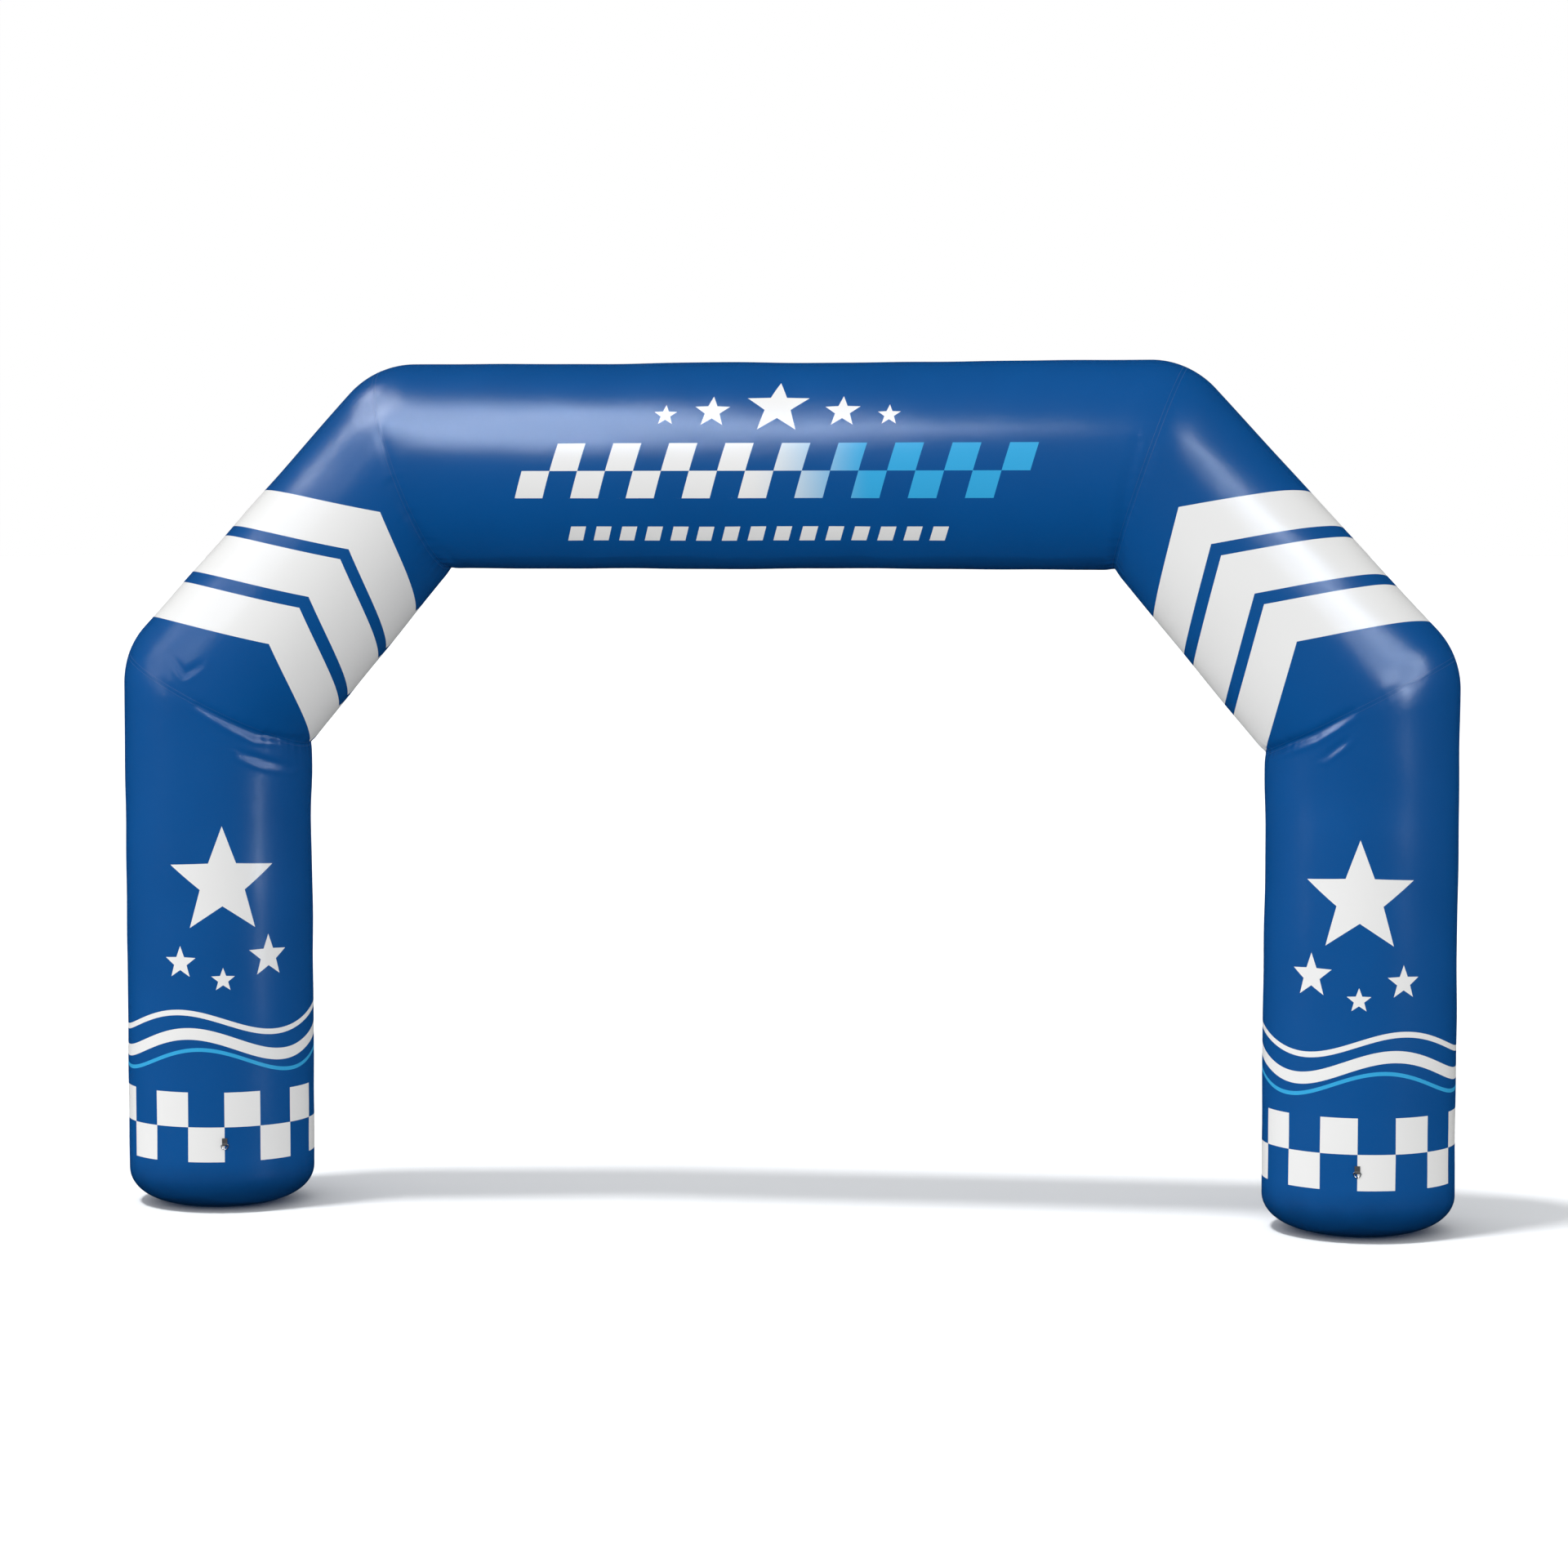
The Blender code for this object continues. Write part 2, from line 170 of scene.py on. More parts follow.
# The wall glows white and is seen by the camera alone, so it lights nothing
turn = math.tau * np.arange(WALL_SIDES) / WALL_SIDES
wall_foot = np.stack([WALL_RADIUS * np.sin(turn), WALL_RADIUS * np.cos(turn), np.zeros(WALL_SIDES)], -1)
here = np.arange(WALL_SIDES)
after = (here + 1) % WALL_SIDES
wall_mesh = bpy.data.meshes.new("white_wall")
wall_mesh.from_pydata(np.concatenate([wall_foot, wall_foot + (0, 0, WALL_HEIGHT)]), [],
                      np.stack([here, after, after + WALL_SIDES, here + WALL_SIDES], -1))
wall = bpy.data.objects.new("white_wall", wall_mesh)
bpy.context.scene.collection.objects.link(wall)
wall_white, _, wall_shader = principled("white_wall_glow")
wall_shader.inputs["Base Color"].default_value = linear("000000")
wall_shader.inputs["Emission Color"].default_value = linear("FFFFFF")
wall_shader.inputs["Emission Strength"].default_value = 1.0
wall_white.cycles.emission_sampling = "NONE"
wall_mesh.materials.append(wall_white)
for kind in ("diffuse", "glossy", "transmission", "volume_scatter", "shadow"):
    setattr(wall, f"visible_{kind}", False)

lit_by_sun = bpy.data.collections.new("lit_by_sun")
lit_by_sun.objects.link(floor)
sun.light_linking.receiver_collection = lit_by_sun

# The legs: two upright tubes of coated polyester, each one panel rolled round and closed by a lap seam at
# the back, drawn in at the foot to a base panel and cut slanting at the knee, where it is sewn to the
# shoulder. White ink prints stars, waves and a band of chequers on the blue ground.
HANDS = (("left", -1), ("right", 1))
LEG_AXIS_X = 2.710
LEG_RADIUS = 0.442
FOOT_HEIGHT = 0.164
FOOT_INSET = 0.246
FOOT_FLOOR = 0.0033
FAN_START_Z = 1.90
KNEE_INNER_Z = 2.200
KNEE_OUTER_Z = 2.651
KNEE_HALF_WIDTH = 0.462
CROWN_INNER = np.array((1.5715, 3.038))
CROWN_OUTER = np.array((1.911, 4.0))
CORNER_RADIUS = 0.40
ARC_STEPS = 48
SEAM_GAP = 0.0003
SEAM_DRAW = 0.006
SEAM_REACH = 0.027
SIDES = 320
FOOT_STEPS = 24
SHANK_STEPS = 150
FAN_STEPS = 72
FAN_CROWDING = 1.4

# Slow swells and waists of the tubes, seen from the front: how far they stand out, and how far they reach
SWELL_COLUMNS = ("x", "z", "out", "reach")
SWELLS = (
    (-0.90, 4.0, -0.004, 0.30),
    (-0.45, 4.0, 0.004, 0.30),
    (0.15, 4.0, -0.004, 0.30),
    (1.55, 4.0, 0.004, 0.40),
    (0.30, 3.038, -0.004, 0.35),
    (-2.268, 1.80, -0.006, 0.22),
    (2.268, 1.80, -0.006, 0.35),
    (-2.268, 2.06, 0.005, 0.14),
    (2.268, 2.06, 0.004, 0.14),
)

# Creases on the front, each a chain of (x, z) points, with its depth and half width and the height of the
# lip along its lower side. The lip's own place and half width are given in the crease's half widths.
CREASE_COLUMNS = ("chain", "depth", "half_width", "lip")
CREASES = (
    (((2.270, 2.205), (2.394, 2.261), (2.500, 2.303), (2.665, 2.410)), 0.013, 0.021, 0.004),
    (((2.545, 2.205), (2.600, 2.250), (2.650, 2.290)), 0.006, 0.017, 0.003),
    (((-2.670, 2.405), (-2.529, 2.319), (-2.420, 2.258), (-2.274, 2.232)), 0.011, 0.020, 0.003),
    (((-2.480, 2.175), (-2.400, 2.140), (-2.310, 2.105)), 0.006, 0.021, 0.003),
    (((-2.820, 2.640), (-2.735, 2.550), (-2.660, 2.590)), 0.006, 0.020, 0.002),
    (((1.600, 3.060), (1.626, 3.293), (1.683, 3.549), (1.700, 3.610)), 0.005, 0.028, 0.002),
    (((-1.475, 3.050), (-1.604, 3.184), (-1.680, 3.330), (-1.727, 3.436)), 0.005, 0.030, 0.002),
)
CREASE_FADE = 1 / 3
CREASE_LEAST_TAPER = 0.25
LIP_OFF = 1.5
LIP_WIDTH = 0.8

# Where the tether fittings pull the front of the legs in: their place seen from the front
FITTING_PLACES = ((-2.572, 0.345), (2.710, 0.345))
FITTING_DENT = 0.0030
FITTING_DENT_REACH = 0.030


def corner_arc(before, corner, after):
    """Points of the arc that rounds an outline's corner: the circle that touches both straight sides."""
    back = (before - corner) / np.linalg.norm(before - corner)
    ahead = (after - corner) / np.linalg.norm(after - corner)
    half = math.acos(float(back @ ahead)) / 2
    middle = (back + ahead) / np.linalg.norm(back + ahead)
    centre = corner + middle * CORNER_RADIUS / math.sin(half)
    start = corner + back * CORNER_RADIUS / math.tan(half) - centre
    end = corner + ahead * CORNER_RADIUS / math.tan(half) - centre
    turn = math.pi - 2 * half
    share = np.linspace(0, 1, ARC_STEPS + 1)[:, None]
    return centre + (start * np.sin((1 - share) * turn) + end * np.sin(share * turn)) / math.sin(turn)


def along(chain, share):
    """Places at the given shares of a chain's length, found by straight interpolation between its points."""
    chain = np.asarray(chain, float)
    length = np.concatenate([[0], np.cumsum(np.linalg.norm(np.diff(chain, axis=0), axis=1))])
    at = np.asarray(share) * length[-1]
    return np.stack([np.interp(at, length, chain[:, axis]) for axis in range(chain.shape[1])], -1)


def crease(x, z, chain, depth, half_width, lip):
    """Relief of one crease: a bell-shaped furrow along its chain, and a lower bell beside it as its lip.

    The distance to the chain counts as negative below it, so that the lip falls on the lower side. The
    crease is half as strong at its ends: it tapers as the square root of four times the share of its length
    behind a place times the share ahead.
    """
    nearest = np.full(x.shape, np.inf)
    signed = np.zeros(x.shape)
    place = np.zeros(x.shape)
    points = np.asarray(chain)
    ways = np.diff(points, axis=0)
    lengths = np.linalg.norm(ways, axis=1)
    for index, (start, way, length) in enumerate(zip(points, ways, lengths)):
        share = np.clip(((x - start[0]) * way[0] + (z - start[1]) * way[1]) / length ** 2, 0, 1)
        off_x = x - start[0] - share * way[0]
        off_z = z - start[1] - share * way[1]
        distance = np.hypot(off_x, off_z)
        closer = distance < nearest
        nearest = np.where(closer, distance, nearest)
        upper = (way[0] * off_z - way[1] * off_x) * np.sign(way[0])
        signed = np.where(closer, np.where(upper < 0, -distance, distance), signed)
        place = np.where(closer, (lengths[:index].sum() + share * length) / lengths.sum(), place)
    taper = np.clip(4 * place * (1 - place), CREASE_LEAST_TAPER, 1) ** 0.5
    furrow = np.exp(-(signed / half_width) ** 2)
    ridge = np.exp(-((signed + LIP_OFF * half_width) / (LIP_WIDTH * half_width)) ** 2)
    return (lip * ridge - depth * furrow) * taper


# The cloth's own unevenness: how many slow waves, how high each is, and between which lengths they are drawn
UNEVEN_WAVES = 10
UNEVEN_HEIGHT = 0.00045
UNEVEN_LENGTHS = (0.22, 0.70)
UNEVEN_SEED = 11


def slow_waves(x, y, z):
    """Sum of slow sine waves through space, each with its way, length and start drawn at random."""
    draw = np.random.default_rng(UNEVEN_SEED)
    total = np.zeros(x.shape)
    for _ in range(UNEVEN_WAVES):
        way = draw.normal(size=3)
        way *= math.tau / draw.uniform(*UNEVEN_LENGTHS) / np.linalg.norm(way)
        total += np.sin(x * way[0] + y * way[1] + z * way[2] + draw.uniform(0, math.tau))
    return total * UNEVEN_HEIGHT


def relief(x, y, z, facing):
    """How far the cloth stands out at a place. Swells go all round, creases only where it faces the front."""
    out = slow_waves(x, y, z)
    for row in SWELLS:
        swell = dict(zip(SWELL_COLUMNS, row))
        distance = np.hypot(x - swell["x"], z - swell["z"])
        out = out + swell["out"] * np.exp(-(distance / swell["reach"]) ** 2)
    front = np.clip(facing / CREASE_FADE, 0, 1)
    for row in CREASES:
        out = out + front * crease(x, z, **dict(zip(CREASE_COLUMNS, row)))
    for place_x, place_z in FITTING_PLACES:
        distance = np.hypot(x - place_x, z - place_z)
        out = out - front * FITTING_DENT * np.exp(-(distance / FITTING_DENT_REACH) ** 2)
    return out


def off_seam(x, z, seam):
    """Distance of places seen from the front to a seam's plane, which stands on the line through its ends."""
    start, end = seam
    way = (end - start) / np.linalg.norm(end - start)
    return (x - start[0]) * -way[1] + (z - start[1]) * way[0]


# Small puckers run off each seam at right angles, as waves round the tube whose counts share no factor
PUCKER_HEIGHT = 0.0010
PUCKER_REACH = 0.050
PUCKER_COLUMNS = ("count", "share", "start")
PUCKER_WAVES = (
    (37, 1.0, 0.0),
    (53, 0.8, 1.1),
    (71, 0.6, 2.3),
)


def seam_pull(distance, angle):
    """How far a sewn seam draws the cloth in: a bell across the seam, from nothing at the outside of the bend
    to its full depth at the inside, and a wider bell of puckers."""
    inside = 0.5 - 0.5 * np.sin(angle)
    groove = SEAM_DRAW * inside * np.exp(-(distance / SEAM_REACH) ** 2)
    waves = [dict(zip(PUCKER_COLUMNS, row)) for row in PUCKER_WAVES]
    ripple = sum(wave["share"] * np.sin(wave["count"] * angle + wave["start"]) for wave in waves)
    return groove + PUCKER_HEIGHT * inside ** 2 * ripple * np.exp(-(distance / PUCKER_REACH) ** 2)


# The lap that closes each tube lies at the back, on the inner side: a strip of two layers between its rows
LAP_SIDE = 206
LAP_SIDES_WIDE = 3
LAP_THICKNESS = 0.0010


def tube(inner, outer, half_width, seams, angles):
    """Points of a cloth tube, as a grid of stations by angles.

    A station is the ellipse through its inner and outer point: its centre, plus the angle's sine times half
    the way from inner to outer, less its cosine times the half width along Y. Each point then moves along
    its radius by the relief and the lap's thickness, less what the seams draw in.
    """
    centre = ((inner + outer) / 2)[:, None]
    reach = ((outer - inner) / 2)[:, None]
    spot = centre + reach * np.sin(angles)[None, :, None]
    y = -half_width[:, None] * np.cos(angles)
    base = np.stack([spot[..., 0], y, spot[..., 1]], -1)
    radial = np.stack([(spot - centre)[..., 0], y, (spot - centre)[..., 1]], -1)
    radial /= np.linalg.norm(radial, axis=-1, keepdims=True)
    out = relief(spot[..., 0], y, spot[..., 1], np.cos(angles))
    side = np.arange(len(angles))
    out = out + LAP_THICKNESS * ((side >= LAP_SIDE) & (side <= LAP_SIDE + LAP_SIDES_WIDE))
    for seam in seams:
        out = out - seam_pull(off_seam(spot[..., 0], spot[..., 1], seam), angles)
    return base + radial * out[..., None]


def cut_at_seam(ring, seam, middle):
    """A ring moved onto its seam's plane, half a gap short of it on the side where the tube's middle lies."""
    start, end = seam
    way = (end - start) / np.linalg.norm(end - start)
    normal = np.array((-way[1], way[0]))
    normal *= np.sign(off_seam(middle[0], middle[1], seam))
    move = SEAM_GAP / 2 - ((ring[:, 0] - start[0]) * normal[0] + (ring[:, 2] - start[1]) * normal[1])
    flat = ring.copy()
    flat[:, 0] += normal[0] * move
    flat[:, 2] += normal[1] * move
    return flat


def on_side(points, side):
    """Front-view points of the right half, at their places in the half whose side is -1 or 1."""
    return np.asarray(points) * (side, 1)


# Round each tube the angle runs from the front over the outer edge to the back and the inner edge
STEP_ANGLE = math.tau / SIDES
ANGLES = STEP_ANGLE * np.arange(SIDES)


def grid_mesh(name, grid, flip, maps, endless=False):
    """A mesh through a grid of stations by sides, closed round its sides.

    A flat fan closes each end, unless the grid is endless and its last station is joined to its first. Each
    map gives two values for each of the four corners of every face.
    """
    stations, sides = grid.shape[:2]
    points = np.concatenate([grid.reshape(-1, 3), [grid[0].mean(0), grid[-1].mean(0)]])
    low = np.arange(stations if endless else stations - 1)[:, None] * sides
    high = (low + sides) % (stations * sides)
    here = np.arange(sides)[None, :]
    after = (here + 1) % sides
    quads = np.stack([low + here, low + after, high + after, high + here], -1).reshape(-1, 4)
    top = (stations - 1) * sides
    turn = np.arange(sides)
    turned = (turn + 1) % sides
    bottom_fan = np.stack([turned, turn, np.full(sides, len(points) - 2)], -1)
    top_fan = np.stack([top + turn, top + turned, np.full(sides, len(points) - 1)], -1)
    fans = np.concatenate([bottom_fan, top_fan])
    if endless:
        points, fans = points[:-2], fans[:0]
    if flip:
        quads, fans = quads[:, ::-1], fans[:, ::-1]
    mesh = bpy.data.meshes.new(name)
    mesh.vertices.add(len(points))
    mesh.vertices.foreach_set("co", points.astype(np.float32).ravel())
    loops = np.concatenate([quads.ravel(), fans.ravel()])
    mesh.loops.add(len(loops))
    mesh.loops.foreach_set("vertex_index", loops.astype(np.int32))
    starts = np.concatenate([np.arange(len(quads)) * 4, len(quads) * 4 + np.arange(len(fans)) * 3])
    mesh.polygons.add(len(starts))
    mesh.polygons.foreach_set("loop_start", starts.astype(np.int32))
    for map_name, values in maps.items():
        corners = values.reshape(-1, 4, 2)[:, ::-1 if flip else 1]
        layer = mesh.uv_layers.new(name=map_name)
        flat = np.concatenate([corners.reshape(-1, 2), np.zeros((len(fans) * 3, 2))])
        layer.uv.foreach_set("vector", flat.astype(np.float32).ravel())
    mesh.update(calc_edges=True)
    mesh.validate()
    mesh.shade_smooth()
    mesh.set_sharp_from_angle(angle=math.radians(40))
    return mesh


def corners_of(values):
    """Values at a grid's stations by sides, one side more than it has, given to the four corners of faces."""
    return np.stack([values[:-1, :-1], values[:-1, 1:], values[1:, 1:], values[1:, :-1]], -1)


def corners_round(values):
    """Values at a grid's stations by sides, given to faces' corners. The first side follows the last."""
    return corners_of(np.concatenate([values, values[:, :1]], 1))


def corner_angles(grid):
    """The angle round a tube at the corners of its faces. It goes on to a full turn at the last side."""
    return corners_of(np.broadcast_to(STEP_ANGLE * np.arange(SIDES + 1), (len(grid), SIDES + 1)))


def add_piece(name, mesh, finish):
    """Puts a finished mesh into the scene as a piece of the arch, which rides on its one body."""
    mesh.materials.append(finish)
    piece = bpy.data.objects.new(name, mesh)
    bpy.context.scene.collection.objects.link(piece)
    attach(piece, "root")
    return piece


# Coated polyester, woven from flat yarn, dyed and calendered: an even deep blue with a broad soft gloss and
# a fine weave. Its real yarns stand 0.5 mm apart, and are drawn 3 mm apart so that they show at all.
CLOTH_BLUE = "00559D"
CLOTH_BLUE_WORN = "004E92"
CLOTH_GLOSS = "D3E5FF"
INK_WHITE = "F5F5F4"
INK_SKY = "35AEE6"
CLOTH_ROUGHNESS = 0.27
YARN_PITCH = 0.003
YARN_RELIEF = 0.00012
MOTTLE_SIZE = 0.35


def coated_cloth(name):
    """Dyed and coated cloth: mottled blue, and a bump of crossed yarns on the cloth's own map, in metres."""
    finish, tree, shader = principled(name)
    shader.inputs["Roughness"].default_value = CLOTH_ROUGHNESS
    shader.inputs["IOR"].default_value = 1.33
    shader.inputs["Specular Tint"].default_value = linear(CLOTH_GLOSS)
    place = node(tree, "ShaderNodeTexCoord").outputs["Object"]
    mottle = node(tree, "ShaderNodeTexNoise", {"Vector": place, "Scale": 1 / MOTTLE_SIZE, "Detail": 4.0})
    ground = node(tree, "ShaderNodeMix", {
        0: mottle.outputs["Fac"], 6: linear(CLOTH_BLUE), 7: linear(CLOTH_BLUE_WORN)}, data_type="RGBA")
    tree.links.new(ground.outputs[2], shader.inputs["Base Color"])
    cloth_map = node(tree, "ShaderNodeUVMap", uv_map="cloth")
    yarns = node(tree, "ShaderNodeVectorMath", {0: cloth_map, 1: (math.tau / YARN_PITCH,) * 3},
                 operation="MULTIPLY")
    wave = node(tree, "ShaderNodeVectorMath", {0: yarns}, operation="SINE")
    crossed = node(tree, "ShaderNodeSeparateXYZ", {0: wave})
    weave = node(tree, "ShaderNodeMath", {0: crossed.outputs["X"], 1: crossed.outputs["Y"]},
                 operation="MULTIPLY")
    bump = node(tree, "ShaderNodeBump", {"Height": weave, "Distance": YARN_RELIEF, "Strength": 1.0})
    tree.links.new(bump.outputs["Normal"], shader.inputs["Normal"])
    return finish


def print_or_shade_over(finish, mask, ink):
    """Prints an ink, or lays a painted shade, over what a cloth shows so far, where the mask is 1. The ink is
    a colour or a socket.
    """
    tree = finish.node_tree
    base = tree.nodes["Principled BSDF"].inputs["Base Color"]
    printed = node(tree, "ShaderNodeMix", {0: mask, 6: base.links[0].from_socket, 7: ink}, data_type="RGBA")
    tree.links.new(printed.outputs[2], base)


def between(tree, value, low, high):
    """Mask that is 1 where a value lies between two limits: its distance to their middle is compared."""
    off = node(tree, "ShaderNodeMath", {0: value, 1: (low + high) / 2}, operation="SUBTRACT")
    size = node(tree, "ShaderNodeMath", {0: off}, operation="ABSOLUTE")
    return node(tree, "ShaderNodeMath", {0: size, 1: (high - low) / 2}, operation="LESS_THAN")


# How far a star's notches stand from its middle, as a share of its points' distance
STAR_NOTCH = 0.42


def star(tree, place, across, up, radius):
    """Mask of a five-pointed star that stands on two points.

    The angle from straight up is folded into a tenth of a turn, where the star's edge is one straight line
    from a point to a notch. A place is inside where its reach along that line's normal is less than the
    line's distance from the centre.
    """
    notch = STAR_NOTCH * radius
    tenth = math.tau / 10
    edge_across = notch * math.sin(tenth)
    edge_down = radius - notch * math.cos(tenth)
    normal_angle = math.atan2(edge_down, edge_across)
    edge_distance = radius * math.cos(normal_angle)
    off = node(tree, "ShaderNodeVectorMath", {0: place, 1: (across, up, 0)}, operation="SUBTRACT")
    parts = node(tree, "ShaderNodeSeparateXYZ", {0: off})
    turn = node(tree, "ShaderNodeMath", {0: parts.outputs["X"], 1: parts.outputs["Y"]}, operation="ARCTAN2")
    folded = node(tree, "ShaderNodeMath", {0: turn, 1: tenth}, operation="PINGPONG")
    beside = node(tree, "ShaderNodeMath", {0: folded, 1: normal_angle}, operation="SUBTRACT")
    slope = node(tree, "ShaderNodeMath", {0: beside}, operation="COSINE")
    length = node(tree, "ShaderNodeVectorMath", {0: off}, operation="LENGTH")
    reach = node(tree, "ShaderNodeMath", {0: length.outputs["Value"], 1: slope}, operation="MULTIPLY")
    return node(tree, "ShaderNodeMath", {0: reach, 1: edge_distance}, operation="LESS_THAN")


def either(tree, masks):
    """Mask that is 1 where any of several masks is 1."""
    joined = masks[0]
    for mask in masks[1:]:
        joined = node(tree, "ShaderNodeMath", {0: joined, 1: mask}, operation="MAXIMUM")
    return joined


# The legs' print, in metres round the leg from its middle line and up from the floor. Whole chequers are
# added before the first, round and up, so that no place is below zero and the colours fall as wanted.
CHEQUER_LOW = 0.247
CHEQUER_SIZE = 0.165
CHEQUER_ROWS = 2
CHEQUERS_ROUND = 16
CHEQUERS_BEFORE = (17.0, 16.0)
STAR_COLUMNS = ("across", "up", "radius")
LEG_STARS = (
    (0.00, 1.570, 0.265),
    (-0.225, 1.215, 0.105),
    (0.205, 1.190, 0.080),
    (0.00, 1.110, 0.058),
)
WAVES_ROUND = 3
WAVE_COLUMNS = ("level", "height", "width", "start_deg")
WHITE_WAVES = (
    (0.905, 0.050, 0.026, 10.0),
    (0.800, 0.055, 0.055, 28.0),
)
SKY_WAVES = (
    (0.725, 0.055, 0.018, 46.0),
)
# Painted shade on the foot: its colour, the height where it starts, the height where it is full, and its
# ragged edge
FOOT_PAINTED_SHADE = "00396D"
FOOT_SHADE_TOP = 0.30
FOOT_SHADE_FULL = 0.08
FOOT_SHADE_RAGGED = 0.06
SHADE_SPOTS_PER_METRE = 7.0

leg_cloth = coated_cloth("coated_polyester_leg")
leg_tree = leg_cloth.node_tree
leg_round = node(leg_tree, "ShaderNodeSeparateXYZ", {0: node(leg_tree, "ShaderNodeUVMap", uv_map="cloth")})
leg_print = node(leg_tree, "ShaderNodeUVMap", uv_map="print")

# Painted shade: the foot's colour darkens towards the floor, where shade falls on it, with a ragged upper
# edge
shade_spots = node(leg_tree, "ShaderNodeTexNoise", {
    "Vector": node(leg_tree, "ShaderNodeTexCoord").outputs["Object"], "Scale": SHADE_SPOTS_PER_METRE,
    "Detail": 3.0})
shade_height = node(leg_tree, "ShaderNodeMath", {0: shade_spots.outputs["Fac"], 1: FOOT_SHADE_RAGGED,
                                                2: leg_round.outputs["Y"]}, operation="MULTIPLY_ADD")
foot_painted_shade = node(leg_tree, "ShaderNodeMapRange", {
    "Value": shade_height, "From Min": FOOT_SHADE_TOP, "From Max": FOOT_SHADE_FULL},
    interpolation_type="SMOOTHSTEP")
print_or_shade_over(leg_cloth, foot_painted_shade, linear(FOOT_PAINTED_SHADE))


def wave_band(tree, round_leg, level, height, width, start_deg):
    """Mask of one wavy line round a leg: the height above the floor less a sine of the way round."""
    turn = node(tree, "ShaderNodeMath", {0: round_leg.outputs["X"], 1: WAVES_ROUND / LEG_RADIUS,
                                         2: math.radians(start_deg)}, operation="MULTIPLY_ADD")
    rise = node(tree, "ShaderNodeMath", {0: turn}, operation="SINE")
    swing = node(tree, "ShaderNodeMath", {0: rise, 1: -height, 2: round_leg.outputs["Y"]},
                 operation="MULTIPLY_ADD")
    return between(tree, swing, level - width / 2, level + width / 2)


leg_masks = [star(leg_tree, leg_print, **dict(zip(STAR_COLUMNS, row))) for row in LEG_STARS]
leg_masks += [wave_band(leg_tree, leg_round, **dict(zip(WAVE_COLUMNS, row))) for row in WHITE_WAVES]
chequer_place = node(leg_tree, "ShaderNodeMapping", {
    "Vector": node(leg_tree, "ShaderNodeUVMap", uv_map="cloth"),
    "Location": (CHEQUERS_BEFORE[0], -CHEQUER_LOW / CHEQUER_SIZE + CHEQUERS_BEFORE[1], 0.5),
    "Scale": (CHEQUERS_ROUND / (math.tau * LEG_RADIUS), 1 / CHEQUER_SIZE, 1.0)})
chequers = node(leg_tree, "ShaderNodeTexChecker", {"Vector": chequer_place, "Scale": 1.0,
                                                   "Color1": (1, 1, 1, 1), "Color2": (0, 0, 0, 1)})
chequer_high = CHEQUER_LOW + CHEQUER_ROWS * CHEQUER_SIZE
chequer_band = between(leg_tree, leg_round.outputs["Y"], CHEQUER_LOW, chequer_high)
leg_masks.append(node(leg_tree, "ShaderNodeMath", {0: chequers.outputs["Fac"], 1: chequer_band},
                      operation="MULTIPLY"))
print_or_shade_over(leg_cloth, either(leg_tree, leg_masks), linear(INK_WHITE))
sky_masks = [wave_band(leg_tree, leg_round, **dict(zip(WAVE_COLUMNS, row))) for row in SKY_WAVES]
print_or_shade_over(leg_cloth, either(leg_tree, sky_masks), linear(INK_SKY))

# The print's middle line is turned a little to the inner side on the left leg, and faces -Y on the right
PRINT_TURN_DEG = {"left": -18.0, "right": 0.0}

knee_inner = np.array((LEG_AXIS_X - LEG_RADIUS, KNEE_INNER_Z))
knee_outer = np.array((LEG_AXIS_X + LEG_RADIUS, KNEE_OUTER_Z))
leg_top_outer = np.array((knee_outer[0], FAN_START_Z))
knee_arc = corner_arc(leg_top_outer, knee_outer, CROWN_OUTER)
crown_arc = corner_arc(knee_outer, CROWN_OUTER, np.array((0.0, CROWN_OUTER[1])))
ARC_MIDDLE = len(knee_arc) // 2
leg_edge = np.concatenate([[leg_top_outer], knee_arc[:ARC_MIDDLE + 1]])
knee_seam = (knee_inner, knee_arc[ARC_MIDDLE])


def folded_angle(angles, middle_deg):
    """Angles of face corners from a print's middle line, with the back folded onto the front."""
    off = angles - math.radians(middle_deg)
    face = (off.mean(-1, keepdims=True) + math.pi) % math.tau - math.pi
    off = off - off.mean(-1, keepdims=True) + face
    back = np.abs(face) > math.pi / 2
    return np.where(back, np.sign(face) * math.pi - off, off)


def leg_grid(side):
    """A leg's points: a foot drawn in on a quarter ellipse, a straight shank, and a fan of slanting stations.

    The fan's stations crowd towards the seam: their share is one less a power of what is left to it.
    """
    turn = np.linspace(math.asin(1 - FOOT_FLOOR / FOOT_HEIGHT), 0, FOOT_STEPS, endpoint=False)
    foot_radius = LEG_RADIUS - FOOT_INSET * (1 - np.cos(turn))
    shank_z = np.linspace(FOOT_HEIGHT, FAN_START_Z, SHANK_STEPS, endpoint=False)
    z = np.concatenate([FOOT_HEIGHT * (1 - np.sin(turn)), shank_z])
    radius = np.concatenate([foot_radius, np.full(SHANK_STEPS, LEG_RADIUS)])
    share = 1 - (1 - np.linspace(0, 1, FAN_STEPS + 1)) ** FAN_CROWDING
    inner = np.concatenate([np.stack([LEG_AXIS_X - radius, z], -1),
                            along([(knee_inner[0], FAN_START_Z), knee_inner], share)])
    outer = np.concatenate([np.stack([LEG_AXIS_X + radius, z], -1), along(leg_edge, share)])
    half_width = np.concatenate([radius, LEG_RADIUS + (KNEE_HALF_WIDTH - LEG_RADIUS) * share ** 2])
    seam = on_side(knee_seam, side)
    grid = tube(on_side(inner, side), on_side(outer, side), half_width, [seam], ANGLES)
    grid[0, :, 2] = FOOT_FLOOR
    grid[-1] = cut_at_seam(grid[-1], seam, (side * LEG_AXIS_X, 0.0))
    return grid


